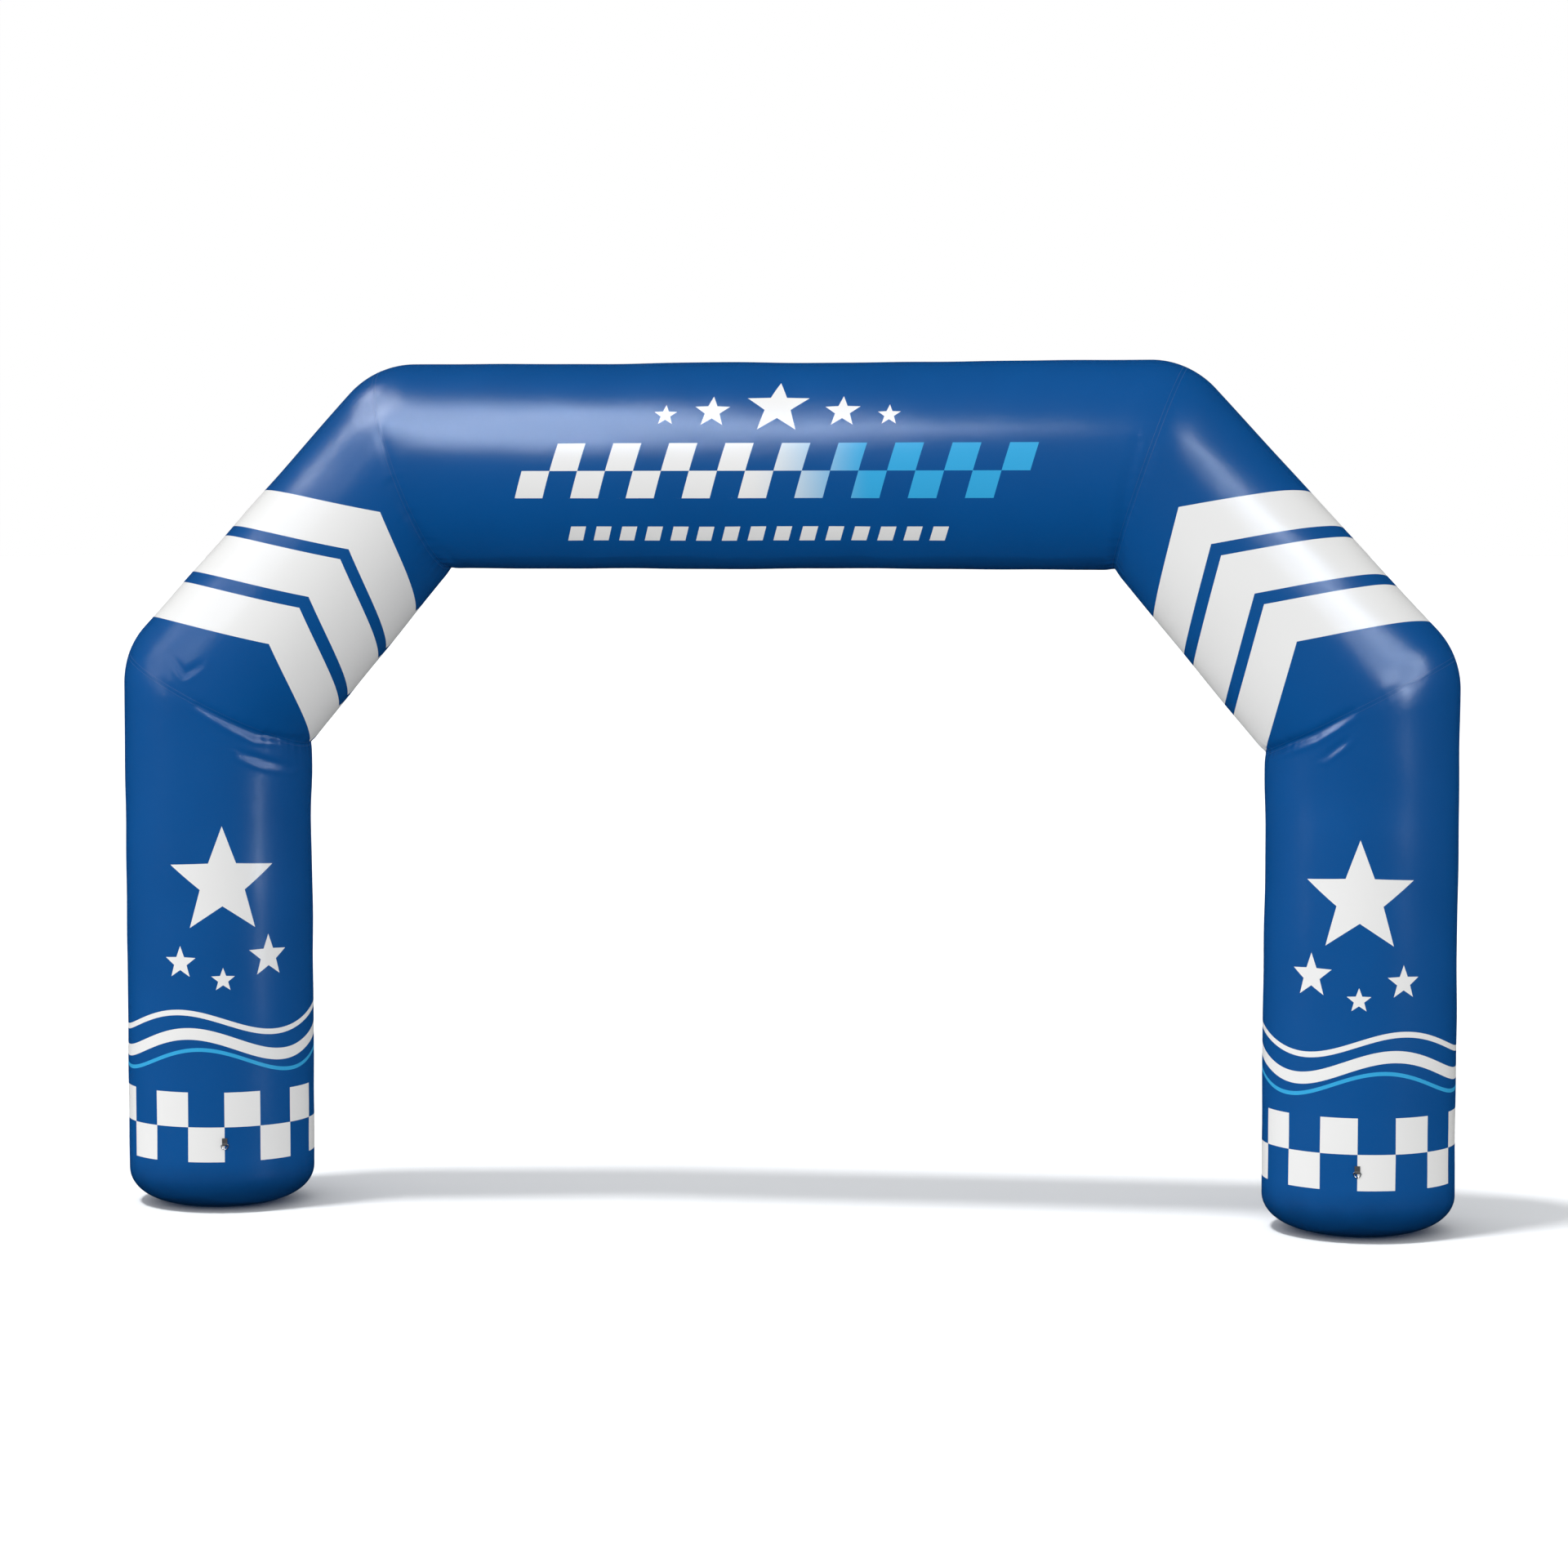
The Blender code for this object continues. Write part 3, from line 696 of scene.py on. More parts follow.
tubes = {}
for hand, side in HANDS:
    grid = leg_grid(side)
    tubes[f"leg_{hand}"] = grid
    corner_angle = corner_angles(grid)
    height = corners_round(grid[..., 2])
    middle = PRINT_TURN_DEG[hand]
    cloth_map = np.stack([(corner_angle - math.radians(middle)) * LEG_RADIUS, height], -1)
    print_map = np.stack([folded_angle(corner_angle, middle) * LEG_RADIUS, height], -1)
    mesh = grid_mesh(f"leg_{hand}_cloth", grid, side < 0,
                     {"cloth": cloth_map, "print": print_map})
    leg = add_piece(f"leg_{hand}_cloth", mesh, leg_cloth)
    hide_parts(f"leg_{hand}")

# The shoulders: two slanted tubes of the same cloth, each one panel, sewn to the leg at the knee and to the
# beam at the crown. Three white chevrons with blue gaps are printed across each, pointing to the beam, on
# the front and again on the back.
SHOULDER_HALF_WIDTH = 0.470
CROWN_HALF_WIDTH = 0.472
SHOULDER_STEPS = 116
EVEN_SHARE = 0.65
CHEVRON_RADIUS = 0.47
CHEVRON_ARM_COLUMNS = ("outer_by_angle", "outer_by_sine", "inner_by_angle", "inner_by_sine")
CHEVRON_ARMS = {"left": (0.20, 0.37, 0.50, 0.0), "right": (0.20, 0.39, 0.0, 0.645)}
CHEVRON_TIP_DEG = {"left": -13.5, "right": -2.25}
CHEVRON_EDGES = {
    "left": (0.316, 0.540, 0.608, 0.840, 0.901, 1.130),
    "right": (0.280, 0.502, 0.566, 0.793, 0.861, 1.082),
}
crown_seam = (CROWN_INNER, crown_arc[ARC_MIDDLE])
shoulder_edge = np.concatenate([knee_arc[ARC_MIDDLE:], crown_arc[:ARC_MIDDLE + 1]])
SHOULDER_LOW = np.array((2.6229, 2.5323))
SHOULDER_HIGH = np.array((1.8903, 3.3540))


def seam_to_seam(count):
    """Shares of a tube's length from seam to seam: a line mixed with a cosine that crowds the ends."""
    even = np.linspace(0, 1, count + 1)
    return EVEN_SHARE * even + (1 - EVEN_SHARE) * (1 - np.cos(math.pi * even)) / 2


def half_width_at(low, middle, high, share):
    """A tube's half width: the parabola through its values at both ends and midway."""
    return (low * (1 - share) * (1 - 2 * share) + high * share * (2 * share - 1)
            + 4 * middle * share * (1 - share))


for hand, side in HANDS:
    share = seam_to_seam(SHOULDER_STEPS)
    half_width = half_width_at(KNEE_HALF_WIDTH, SHOULDER_HALF_WIDTH, CROWN_HALF_WIDTH, share)
    seams = [on_side(seam, side) for seam in (knee_seam, crown_seam)]
    inner = on_side(along([knee_inner, CROWN_INNER], share), side)
    outer = on_side(along(shoulder_edge, share), side)
    grid = tube(inner, outer, half_width, seams, ANGLES)
    centre = on_side((knee_inner + CROWN_OUTER) / 2, side)
    grid[0] = cut_at_seam(grid[0], seams[0], centre)
    grid[-1] = cut_at_seam(grid[-1], seams[1], centre)
    tubes[f"shoulder_{hand}"] = grid
    axis = (SHOULDER_HIGH - SHOULDER_LOW) / np.linalg.norm(SHOULDER_HIGH - SHOULDER_LOW)
    reach = (grid[..., 0] * side - SHOULDER_LOW[0]) * axis[0] + (grid[..., 2] - SHOULDER_LOW[1]) * axis[1]
    reach = corners_round(reach)
    corner_angle = corner_angles(grid)
    front = np.arctan2(np.sin(corner_angle), np.abs(np.cos(corner_angle)))
    tip = math.radians(CHEVRON_TIP_DEG[hand])
    off_tip = front - tip
    off_sine = np.sin(front) - math.sin(tip)
    arm = dict(zip(CHEVRON_ARM_COLUMNS, CHEVRON_ARMS[hand]))
    fall = np.where(off_tip > 0, arm["outer_by_angle"] * off_tip + arm["outer_by_sine"] * off_sine,
                    -arm["inner_by_angle"] * off_tip - arm["inner_by_sine"] * off_sine)
    chevron = reach + CHEVRON_RADIUS * fall
    cloth_map = np.stack([corner_angle * CHEVRON_RADIUS, reach], -1)
    print_map = np.stack([off_tip * CHEVRON_RADIUS, chevron], -1)
    shoulder_cloth = coated_cloth(f"coated_polyester_shoulder_{hand}")
    shoulder_tree = shoulder_cloth.node_tree
    chevron_place = node(shoulder_tree, "ShaderNodeSeparateXYZ", {
        0: node(shoulder_tree, "ShaderNodeUVMap", uv_map="print")}).outputs["Y"]
    edges = CHEVRON_EDGES[hand]
    bands = [between(shoulder_tree, chevron_place, low, high) for low, high in zip(edges[::2], edges[1::2])]
    print_or_shade_over(shoulder_cloth, either(shoulder_tree, bands), linear(INK_WHITE))
    mesh = grid_mesh(f"shoulder_{hand}_cloth", grid, side < 0,
                     {"cloth": cloth_map, "print": print_map})
    shoulder = add_piece(f"shoulder_{hand}_cloth", mesh, shoulder_cloth)
    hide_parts(f"shoulder_{hand}")

# The beam: one level tube of the same cloth between the crown seams. Its print is a leaning two-row ribbon
# of chequers that goes from white to sky blue, with stars above it and short leaning bars below it. Whole
# cells are added before the ribbon's first, both ways, so that no place is below zero.
BEAM_RADIUS = 0.481
BEAM_STEPS = 288
PRINT_MIDDLE_X = 0.06
RIBBON_LOW = -0.154
RIBBON_HIGH = 0.100
RIBBON_REACH = 1.17
RIBBON_COLUMNS = 18
RIBBON_CELLS_BEFORE = 64.0
RIBBON_LEAN = 0.30
RIBBON_TURNS_SKY = (-0.15, 0.45)
BAR_LOW = -0.385
BAR_HIGH = -0.300
BAR_PITCH = 0.120
BAR_WIDTH = 0.070
BARS_REACH = 0.84
BEAM_STARS = (
    (0.0, 0.285, 0.150),
    (-0.300, 0.255, 0.085),
    (0.300, 0.255, 0.085),
    (-0.515, 0.235, 0.055),
    (0.515, 0.235, 0.055),
)

beam_cloth = coated_cloth("coated_polyester_beam")
beam_tree = beam_cloth.node_tree
beam_print = node(beam_tree, "ShaderNodeUVMap", uv_map="print")
beam_place = node(beam_tree, "ShaderNodeSeparateXYZ", {0: beam_print})
leaning = node(beam_tree, "ShaderNodeMath", {0: beam_place.outputs["Y"], 1: -RIBBON_LEAN,
                                             2: beam_place.outputs["X"]}, operation="MULTIPLY_ADD")
ribbon_place = node(beam_tree, "ShaderNodeCombineXYZ", {
    "X": node(beam_tree, "ShaderNodeMath", {
        0: leaning, 1: RIBBON_COLUMNS / (2 * RIBBON_REACH), 2: RIBBON_CELLS_BEFORE},
        operation="MULTIPLY_ADD"),
    "Y": node(beam_tree, "ShaderNodeMath", {
        0: beam_place.outputs["Y"], 1: 2 / (RIBBON_HIGH - RIBBON_LOW),
        2: RIBBON_CELLS_BEFORE - 2 * RIBBON_LOW / (RIBBON_HIGH - RIBBON_LOW)}, operation="MULTIPLY_ADD"),
    "Z": 0.5})
ribbon_chequers = node(beam_tree, "ShaderNodeTexChecker", {"Vector": ribbon_place, "Scale": 1.0,
                                                           "Color1": (1, 1, 1, 1), "Color2": (0, 0, 0, 1)})
ribbon_sides = between(beam_tree, leaning, -RIBBON_REACH, RIBBON_REACH)
ribbon_rows = between(beam_tree, beam_place.outputs["Y"], RIBBON_LOW, RIBBON_HIGH)
ribbon_field = node(beam_tree, "ShaderNodeMath", {0: ribbon_sides, 1: ribbon_rows}, operation="MULTIPLY")
ribbon = node(beam_tree, "ShaderNodeMath", {0: ribbon_chequers.outputs["Fac"], 1: ribbon_field},
              operation="MULTIPLY")
turning = node(beam_tree, "ShaderNodeMapRange", {
    "Value": beam_place.outputs["X"], "From Min": RIBBON_TURNS_SKY[0], "From Max": RIBBON_TURNS_SKY[1]},
    interpolation_type="SMOOTHSTEP")
ribbon_ink = node(beam_tree, "ShaderNodeMix", {0: turning, 6: linear(INK_WHITE), 7: linear(INK_SKY)},
                  data_type="RGBA")
bar_turn = node(beam_tree, "ShaderNodeMath", {0: leaning, 1: BAR_PITCH / 2}, operation="PINGPONG")
bar_shape = node(beam_tree, "ShaderNodeMath", {0: bar_turn, 1: BAR_WIDTH / 2}, operation="LESS_THAN")
bar_rows = between(beam_tree, beam_place.outputs["Y"], BAR_LOW, BAR_HIGH)
bar_sides = between(beam_tree, leaning, -BARS_REACH - BAR_WIDTH / 2, BARS_REACH + BAR_WIDTH / 2)
bar_field = node(beam_tree, "ShaderNodeMath", {0: bar_rows, 1: bar_sides}, operation="MULTIPLY")
bars = node(beam_tree, "ShaderNodeMath", {0: bar_shape, 1: bar_field}, operation="MULTIPLY")
beam_stars = [star(beam_tree, beam_print, **dict(zip(STAR_COLUMNS, row))) for row in BEAM_STARS]
print_or_shade_over(beam_cloth, either(beam_tree, [bars] + beam_stars), linear(INK_WHITE))
print_or_shade_over(beam_cloth, ribbon, ribbon_ink.outputs[2])

half_beam = crown_arc[ARC_MIDDLE:]
beam_edge = np.concatenate([half_beam, on_side(half_beam[::-1], -1)])
beam_under = [CROWN_INNER, on_side(CROWN_INNER, -1)]
share = seam_to_seam(BEAM_STEPS)
half_width = half_width_at(CROWN_HALF_WIDTH, BEAM_RADIUS, CROWN_HALF_WIDTH, share)
seams = [on_side(crown_seam, side) for side in (1, -1)]
grid = tube(along(beam_under, share), along(beam_edge, share), half_width, seams, ANGLES)
beam_centre = (0.0, CROWN_OUTER[1] - BEAM_RADIUS)
grid[0] = cut_at_seam(grid[0], seams[0], beam_centre)
grid[-1] = cut_at_seam(grid[-1], seams[1], beam_centre)
tubes["beam"] = grid
corner_angle = corner_angles(grid)
across = corners_round(grid[..., 0])
faces_back = np.cos(corner_angle.mean(-1, keepdims=True)) < 0
cloth_map = np.stack([corner_angle * BEAM_RADIUS, across], -1)
print_map = np.stack([np.where(faces_back, -across, across) - PRINT_MIDDLE_X,
                      folded_angle(corner_angle, 0.0) * BEAM_RADIUS], -1)
mesh = grid_mesh("beam_cloth", grid, False,
                 {"cloth": cloth_map, "print": print_map})
beam = add_piece("beam_cloth", mesh, beam_cloth)
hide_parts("beam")

# The sewing: polyester thread in locked stitches, one row on either panel beside each slanting seam, and two
# rows along the laps at the back. Real stitches stand about 4 mm apart, and are drawn at 9 mm.
STITCH_LENGTH = 0.0065
STITCH_WIDTH = 0.0016
STITCH_HEIGHT = 0.0009
STITCH_PITCH = 0.009
STITCH_OFF_SEAM = 0.009
STITCH_MARGIN = 0.014
LAP_ROWS = (LAP_SIDE + 0.6, LAP_SIDE + 2.4)
THREAD_BLUE = "0B4A86"
BEAD_SIDES = 6
PLIES_PER_METRE = 1800.0


def outward(grid):
    """Normals of a grid of stations by sides, pointing away from each station's middle."""
    lengthwise = np.gradient(grid, axis=0)
    round_way = np.roll(grid, -1, axis=1) - np.roll(grid, 1, axis=1)
    normal = np.cross(round_way, lengthwise)
    normal /= np.linalg.norm(normal, axis=-1, keepdims=True)
    away = grid - grid.mean(1, keepdims=True)
    return normal * np.sign((normal * away).sum(-1, keepdims=True))


def row_by_seam(grid, seam):
    """Places and normals of a row at a fixed distance from a seam, found on each line along a tube."""
    away = np.abs(off_seam(grid[..., 0], grid[..., 2], seam))
    normal = outward(grid)
    if away[0].mean() > away[-1].mean():
        grid, away, normal = grid[::-1], away[::-1], normal[::-1]
    beyond = np.argmax(away > STITCH_OFF_SEAM, axis=0)
    side = np.arange(grid.shape[1])
    near, far = away[beyond - 1, side], away[beyond, side]
    share = ((STITCH_OFF_SEAM - near) / (far - near))[:, None]
    places = grid[beyond - 1, side] * (1 - share) + grid[beyond, side] * share
    normals = normal[beyond, side]
    return np.concatenate([places, places[:1]]), np.concatenate([normals, normals[:1]])


def row_on_lap(grid, column):
    """Places and normals of a row along a tube's lap, mixed from the lines along the tube beside it."""
    low = int(column)
    share = column - low
    normal = outward(grid)
    return (grid[:, low] * (1 - share) + grid[:, low + 1] * share,
            normal[:, low] * (1 - share) + normal[:, low + 1] * share)


def stitches(rows, length, width, height, pitch, margin=0.0):
    """Stitch beads along rows of places with normals, evenly spaced by length.

    A bead is a point, two oval rings and a point: its radius is 0 at both ends and full at a quarter and
    three quarters of its length, with half its width across and half its height along the normal.
    """
    beads = []
    turn = math.tau * np.arange(BEAD_SIDES) / BEAD_SIDES
    for places, normals in rows:
        gone = np.concatenate([[0], np.cumsum(np.linalg.norm(np.diff(places, axis=0), axis=1))])
        count = max(1, round((gone[-1] - 2 * margin) / pitch))
        at = margin + (np.arange(count) + 0.5) * (gone[-1] - 2 * margin) / count
        samples = ((at, places), (at + length / 4, places), (at - length / 4, places), (at, normals))
        place, ahead, behind, normal = (
            np.stack([np.interp(spot, gone, values[:, axis]) for axis in range(3)], -1)
            for spot, values in samples)
        way = (ahead - behind) / np.linalg.norm(ahead - behind, axis=1, keepdims=True)
        normal /= np.linalg.norm(normal, axis=1, keepdims=True)
        beside = np.cross(normal, way)
        ring = (beside[:, None] * np.cos(turn)[None, :, None] * width / 2
                + normal[:, None] * np.sin(turn)[None, :, None] * height / 2)
        middle = (place + normal * height / 6)[:, None]
        along_way = way[:, None] * length
        beads.append(np.concatenate([middle - along_way / 2, middle - along_way / 4 + ring,
                                     middle + along_way / 4 + ring, middle + along_way / 2], 1))
    return np.concatenate(beads)


def bead_mesh(name, beads):
    """A mesh of stitch beads, each with a point at both ends and two rings between them."""
    here = np.arange(BEAD_SIDES)
    after = (here + 1) % BEAD_SIDES
    low, low_after = 1 + here, 1 + after
    high, high_after = low + BEAD_SIDES, low_after + BEAD_SIDES
    start, end = np.zeros(BEAD_SIDES, int), np.full(BEAD_SIDES, 2 * BEAD_SIDES + 1)
    faces = np.concatenate([np.stack(corners, -1) for corners in (
        (start, low_after, low), (low, low_after, high_after),
        (low, high_after, high), (end, high, high_after))])
    all_faces = (faces[None] + beads.shape[1] * np.arange(len(beads))[:, None, None]).reshape(-1, 3)
    mesh = bpy.data.meshes.new(name)
    mesh.from_pydata(beads.reshape(-1, 3), [], all_faces)
    mesh.shade_smooth()
    return mesh


def sewing_thread(name, dark, pale):
    """Spun polyester thread with a dull sheen. Its plies, a little over half a millimetre apart, are drawn
    as a mottle between two tones."""
    finish, tree, shader = principled(name)
    shader.inputs["Roughness"].default_value = 0.55
    shader.inputs["IOR"].default_value = 1.45
    plies = node(tree, "ShaderNodeTexNoise", {
        "Vector": node(tree, "ShaderNodeTexCoord").outputs["Object"], "Scale": PLIES_PER_METRE,
        "Detail": 2.0})
    colour = node(tree, "ShaderNodeMix", {0: plies.outputs["Fac"], 6: linear(dark), 7: linear(pale)},
                  data_type="RGBA")
    tree.links.new(colour.outputs[2], shader.inputs["Base Color"])
    return finish


thread_blue = sewing_thread("polyester_thread_blue", THREAD_BLUE, CLOTH_BLUE)
seam_rows = []
for hand, side in HANDS:
    knee, crown = on_side(knee_seam, side), on_side(crown_seam, side)
    seam_rows += [row_by_seam(tubes[f"leg_{hand}"], knee), row_by_seam(tubes[f"shoulder_{hand}"], knee),
                  row_by_seam(tubes[f"shoulder_{hand}"], crown), row_by_seam(tubes["beam"], crown)]
lap_rows = [row_on_lap(grid, column) for grid in tubes.values() for column in LAP_ROWS]
for name, rows, margin in (("seam_stitches", seam_rows, 0.0), ("lap_stitches", lap_rows, STITCH_MARGIN)):
    beads = stitches(rows, STITCH_LENGTH, STITCH_WIDTH, STITCH_HEIGHT, STITCH_PITCH, margin)
    add_piece(name, bead_mesh(name, beads), thread_blue)

# The base panels: a round panel of heavier coated cloth under each foot, 3 mm thick, which the drawn-in end
# of the leg is sewn to. They lie flat on the floor.
BASE_RADIUS = 0.250
BASE_THICKNESS = 0.003
BASE_SIDES = 128
BASE_RIM_POINTS = 9
BASE_BLUE = "04345F"
PEBBLE_SIZE = 0.0025
PEBBLE_RELIEF = 0.0003

# Heavy coated cloth: dark blue, duller than the tubes, with a pebbled face
base_cloth, base_tree, base_shader = principled("heavy_coated_cloth_base")
base_shader.inputs["Base Color"].default_value = linear(BASE_BLUE)
base_shader.inputs["Roughness"].default_value = 0.55
pebbles = node(base_tree, "ShaderNodeTexVoronoi", {
    "Vector": node(base_tree, "ShaderNodeTexCoord").outputs["Object"], "Scale": 1 / PEBBLE_SIZE})
base_bump = node(base_tree, "ShaderNodeBump", {
    "Height": pebbles.outputs["Distance"], "Distance": PEBBLE_RELIEF})
base_tree.links.new(base_bump.outputs["Normal"], base_shader.inputs["Normal"])

for hand, side in HANDS:
    rim = np.linspace(-math.pi / 2, math.pi / 2, BASE_RIM_POINTS)
    ring_radius = BASE_RADIUS + BASE_THICKNESS / 2 * (np.cos(rim) - 1)
    ring_height = BASE_THICKNESS / 2 * (1 + np.sin(rim))
    turn = math.tau * np.arange(BASE_SIDES) / BASE_SIDES
    grid = np.stack(np.broadcast_arrays(side * LEG_AXIS_X + ring_radius[:, None] * np.sin(turn),
                                        -ring_radius[:, None] * np.cos(turn), ring_height[:, None]), -1)
    panel = add_piece(f"base_sheet_{hand}", grid_mesh(f"base_sheet_{hand}", grid, False, {}), base_cloth)
    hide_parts(f"base_panel_{hand}")

# The tether fittings: on the front of each leg a strip of grey webbing is folded round the bar of a steel
# D-ring and sewn to the leg with a boxed cross. The ring hangs from the fold.
TETHER_Z = 0.330
TETHER_TURN_DEG = {"left": 18.0, "right": 0.0}
RING_BAR_DISTANCE = 0.44574
RING_WIRE_RADIUS = 0.0025
RING_HALF_WIDTH = 0.0165
RING_DROP = 0.022
BOW_POINTS = 200
RING_STEPS = 160
RING_ROUNDING_STEPS = 5
WIRE_SIDES = 20
WEBBING_WIDTH = 0.025
WEBBING_THICKNESS = 0.002
WEBBING_GAP = 0.0003
WEBBING_TAIL = 0.030
WEBBING_LEAVES_RING_DEG = 50.0
WEBBING_LAYERS_MEET = 0.0078
WEBBING_BULGE = 0.0006
WEBBING_EDGE_STEPS = 6
LOWER_STEPS = 16
BEND_STEPS = 48
CLOSING_STEPS = 12
UPPER_STEPS = 14
RIB_PITCH = 0.002
RIB_RELIEF = 0.0002
WEBBING_GREY = "3F4145"
WEBBING_PAINTED_SHADE = "26282B"
THREAD_GREY = "6E7176"
STEEL_PALE = "C4C6C9"
STEEL_DARK = "8E9195"
STREAKS_PER_METRE = 260.0

# The boxed cross, as lines from place to place in half widths across and in shares of its height up
CROSS_HALF_WIDTH = 0.009
CROSS_LOW = 0.0115
CROSS_HIGH = 0.0265
CROSS_LINES = (
    ((-1, 0), (1, 0)),
    ((1, 0), (1, 1)),
    ((1, 1), (-1, 1)),
    ((-1, 1), (-1, 0)),
    ((-1, 0), (1, 1)),
    ((-1, 1), (1, 0)),
)
CROSS_STITCH = {"length": 0.0022, "width": 0.0007, "height": 0.0005, "pitch": 0.0030}
CROSS_FRONT = (0, -0.01, 0)


def on_leg(points, hand, side):
    """Points given before a leg's axis, facing -Y, turned round the axis to where the fitting is sewn on."""
    turn = math.radians(TETHER_TURN_DEG[hand])
    x, y, z = np.moveaxis(points, -1, 0)
    return np.stack([side * LEG_AXIS_X + x * math.cos(turn) - y * math.sin(turn),
                     x * math.sin(turn) + y * math.cos(turn), z], -1)


# Nylon webbing: grey yarns in a two-up two-down rib, drawn at 2 mm, with painted shade where the rib sinks
# between its yarns
webbing, webbing_tree, webbing_shader = principled("nylon_webbing_grey")
webbing_shader.inputs["Roughness"].default_value = 0.75
webbing_map = node(webbing_tree, "ShaderNodeUVMap", uv_map="cloth")
rib_turn = node(webbing_tree, "ShaderNodeVectorMath", {0: webbing_map, 1: (math.tau / RIB_PITCH,) * 3},
                operation="MULTIPLY")
ribs = node(webbing_tree, "ShaderNodeSeparateXYZ", {
    0: node(webbing_tree, "ShaderNodeVectorMath", {0: rib_turn}, operation="SINE")})
rib_height = node(webbing_tree, "ShaderNodeMath", {0: ribs.outputs["X"], 1: ribs.outputs["Y"]},
                  operation="MULTIPLY")
# Painted shade: the colour goes to the darker grey where the rib's height is low
rib_shade = node(webbing_tree, "ShaderNodeMapRange", {
    "Value": rib_height, "From Min": -1.0, "From Max": 1.0})
rib_colour = node(webbing_tree, "ShaderNodeMix", {
    0: rib_shade, 6: linear(WEBBING_PAINTED_SHADE), 7: linear(WEBBING_GREY)}, data_type="RGBA")
webbing_tree.links.new(rib_colour.outputs[2], webbing_shader.inputs["Base Color"])
rib_bump = node(webbing_tree, "ShaderNodeBump", {"Height": rib_height, "Distance": RIB_RELIEF})
webbing_tree.links.new(rib_bump.outputs["Normal"], webbing_shader.inputs["Normal"])

thread_grey = sewing_thread("polyester_thread_grey", WEBBING_GREY, THREAD_GREY)

# Bright steel wire, drawn and polished, with faint streaks about 4 mm long
steel, steel_tree, steel_shader = principled("polished_steel_wire")
steel_shader.inputs["Metallic"].default_value = 1.0
steel_shader.inputs["Roughness"].default_value = 0.28
streaks = node(steel_tree, "ShaderNodeTexNoise", {
    "Vector": node(steel_tree, "ShaderNodeTexCoord").outputs["Object"], "Scale": STREAKS_PER_METRE,
    "Detail": 3.0})
steel_colour = node(steel_tree, "ShaderNodeMix", {
    0: streaks.outputs["Fac"], 6: linear(STEEL_PALE), 7: linear(STEEL_DARK)}, data_type="RGBA")
steel_tree.links.new(steel_colour.outputs[2], steel_shader.inputs["Base Color"])

# The webbing's path, seen from the side: down against the leg, round under the bar, and up over itself
turn_radius = RING_WIRE_RADIUS + WEBBING_GAP + WEBBING_THICKNESS / 2
second_layer = -turn_radius + WEBBING_THICKNESS + WEBBING_GAP
bend = np.linspace(math.pi, math.tau + math.radians(WEBBING_LEAVES_RING_DEG), BEND_STEPS + 1)
under = turn_radius * np.stack([np.cos(bend), np.sin(bend)], -1)
down = np.stack([np.full(LOWER_STEPS, -turn_radius), np.linspace(WEBBING_TAIL, 0, LOWER_STEPS + 1)[:-1]], -1)
rise = np.linspace(0, 1, CLOSING_STEPS + 1)[1:, None]
leaving = np.array((second_layer, WEBBING_LAYERS_MEET)) - under[-1]
meet = under[-1] + leaving * rise + (WEBBING_BULGE * np.sin(math.pi * rise)) * (1, 0)
upper_heights = np.linspace(WEBBING_LAYERS_MEET, WEBBING_TAIL, UPPER_STEPS + 1)[1:]
up = np.stack([np.full(UPPER_STEPS, second_layer), upper_heights], -1)
webbing_path = np.concatenate([down, under, meet, up])
webbing_length = np.concatenate([[0], np.cumsum(np.linalg.norm(np.diff(webbing_path, axis=0), axis=1))])

# Across the webbing: a flat strip whose edges are half circles
edge_turn = np.linspace(-math.pi / 2, math.pi / 2, WEBBING_EDGE_STEPS + 1)
edge = np.stack([WEBBING_THICKNESS / 2 * np.sin(edge_turn),
                 WEBBING_WIDTH / 2 - WEBBING_THICKNESS / 2 * (1 - np.cos(edge_turn))], -1)
webbing_section = np.concatenate([edge, -edge])

# The ring's path, seen from the front: a half ellipse under a straight bar, its corners rounded by a running
# mean over about a fifteenth of its length
bow_turn = np.linspace(0, math.pi, BOW_POINTS)
bow = np.stack([RING_HALF_WIDTH * np.cos(bow_turn), -RING_DROP * np.sin(bow_turn)], -1)
ring_path = along(np.concatenate([bow, bow[:1]]), np.arange(RING_STEPS) / RING_STEPS)
near_steps = range(-RING_ROUNDING_STEPS, RING_ROUNDING_STEPS + 1)
ring_path = sum(np.roll(ring_path, step, axis=0) for step in near_steps) / len(near_steps)
wire_turn = math.tau * np.arange(WIRE_SIDES) / WIRE_SIDES


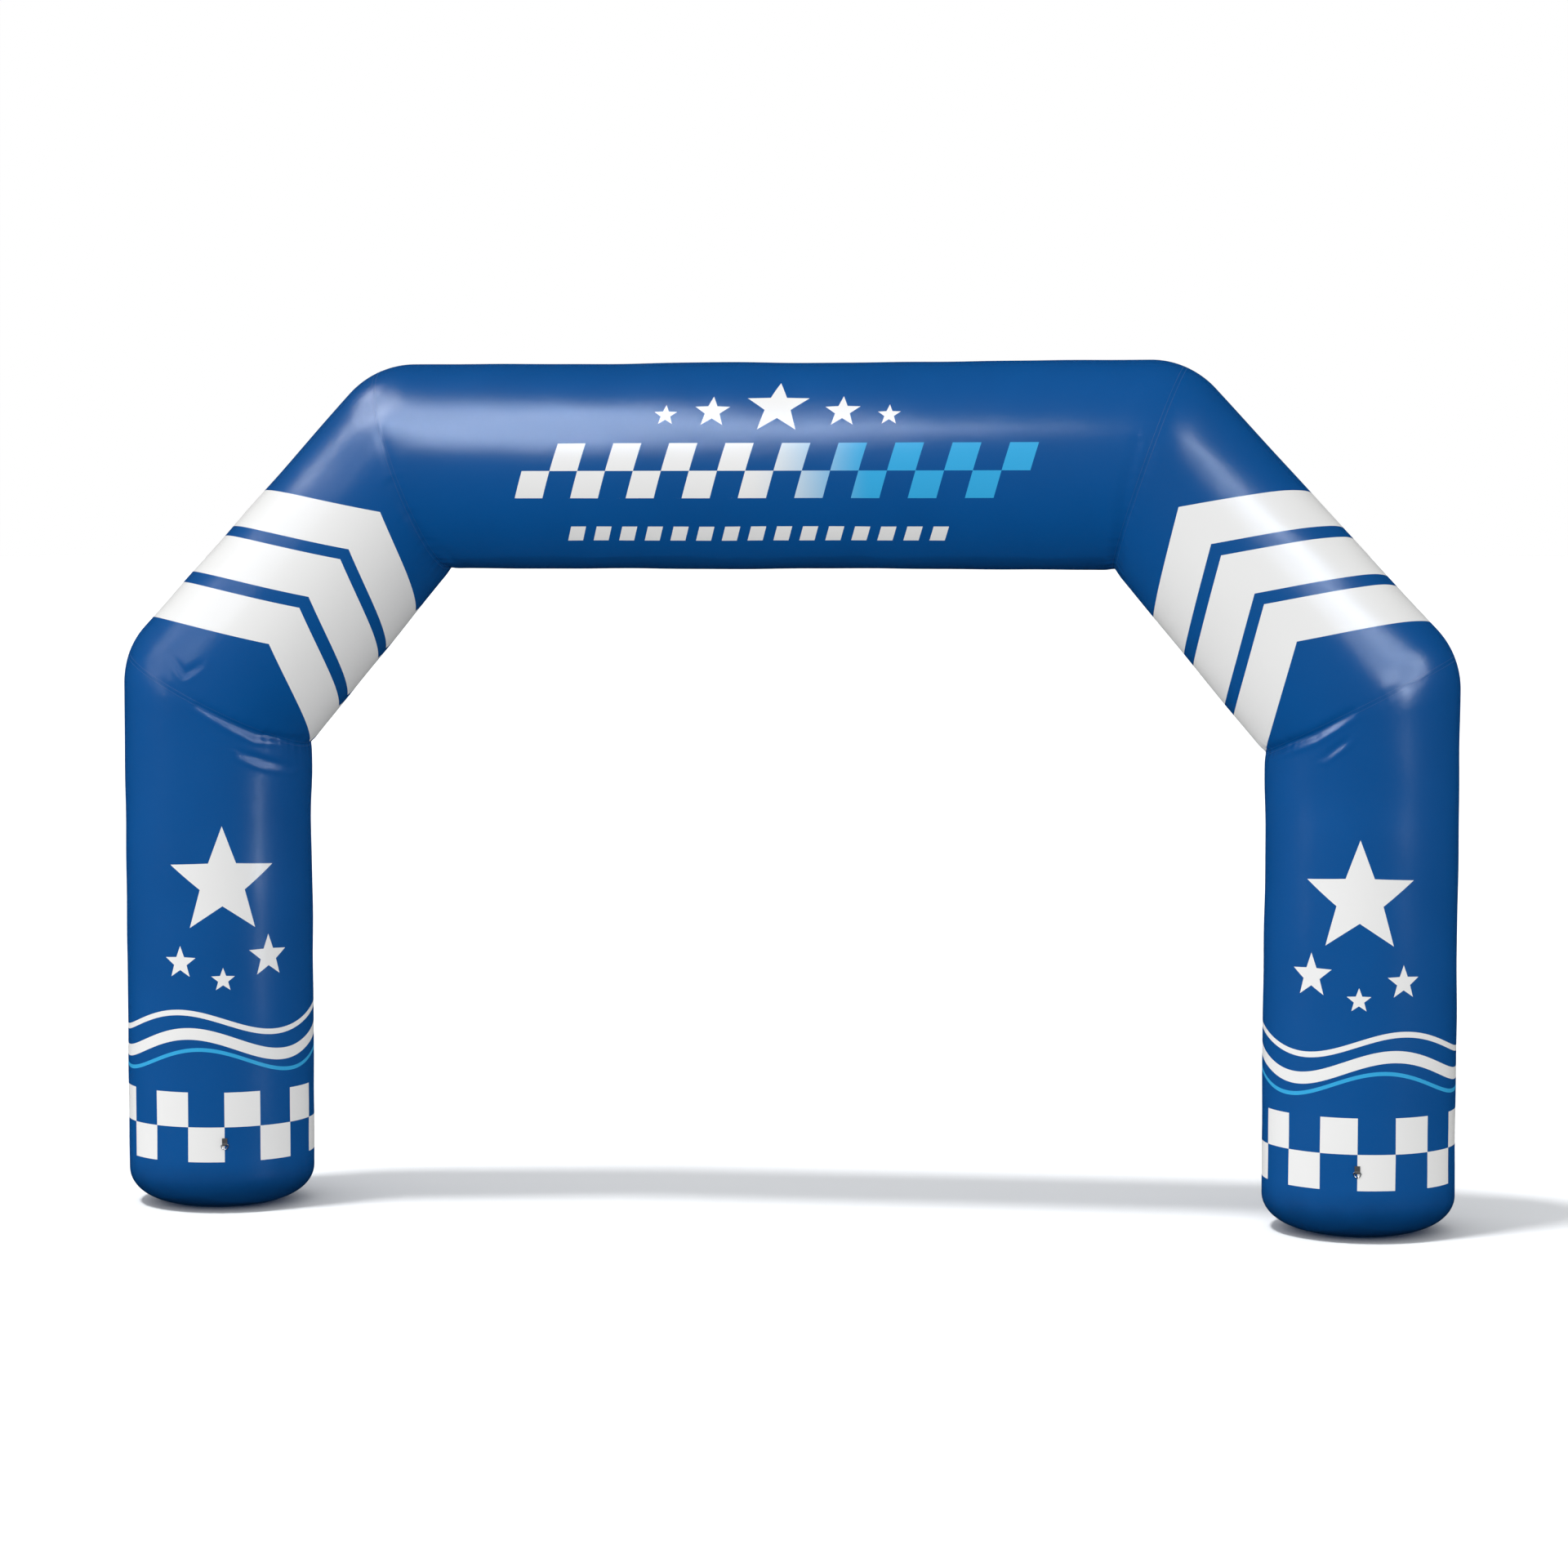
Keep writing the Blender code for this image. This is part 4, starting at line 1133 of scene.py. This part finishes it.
def path_normals(path, endless):
    """Unit normals beside a flat path, a quarter turn from its way."""
    way = np.roll(path, -1, axis=0) - np.roll(path, 1, axis=0) if endless else np.gradient(path, axis=0)
    way /= np.linalg.norm(way, axis=1, keepdims=True)
    return np.stack([-way[:, 1], way[:, 0]], -1)


for hand, side in HANDS:
    beside = path_normals(webbing_path, False)
    side_view = webbing_path[:, None] + beside[:, None] * webbing_section[None, :, :1]
    across = np.broadcast_to(webbing_section[:, 1], side_view.shape[:2])
    strip = on_leg(np.stack([across, -RING_BAR_DISTANCE - side_view[..., 0],
                             TETHER_Z + side_view[..., 1]], -1), hand, side)
    gone = np.broadcast_to(webbing_length[:, None], across.shape)
    strip_map = np.stack([corners_round(across), corners_round(gone)], -1)
    mesh = grid_mesh(f"tether_webbing_{hand}", strip, False, {"cloth": strip_map})
    tab = add_piece(f"tether_webbing_{hand}", mesh, webbing)
    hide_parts(f"tether_tab_{hand}")

    beside = path_normals(ring_path, True)
    front_view = ring_path[:, None] + beside[:, None] * (RING_WIRE_RADIUS * np.cos(wire_turn))[None, :, None]
    depth = np.broadcast_to(RING_WIRE_RADIUS * np.sin(wire_turn), front_view.shape[:2])
    wire = on_leg(np.stack([front_view[..., 0], depth - RING_BAR_DISTANCE,
                            TETHER_Z + front_view[..., 1]], -1), hand, side)
    mesh = grid_mesh(f"tether_wire_{hand}", wire, False, {}, endless=True)
    ring = add_piece(f"tether_wire_{hand}", mesh, steel)
    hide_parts(f"tether_ring_{hand}")

    face = -RING_BAR_DISTANCE - second_layer - WEBBING_THICKNESS / 2
    rows = []
    for line in np.array(CROSS_LINES, float):
        spots = np.stack([line[:, 0] * CROSS_HALF_WIDTH, np.full(2, face),
                          TETHER_Z + CROSS_LOW + line[:, 1] * (CROSS_HIGH - CROSS_LOW)], -1)
        fronts = on_leg(spots + CROSS_FRONT, hand, side) - on_leg(spots, hand, side)
        rows.append((on_leg(spots, hand, side), fronts))
    mesh = bead_mesh(f"tether_stitches_{hand}", stitches(rows, **CROSS_STITCH))
    add_piece(f"tether_stitches_{hand}", mesh, thread_grey)
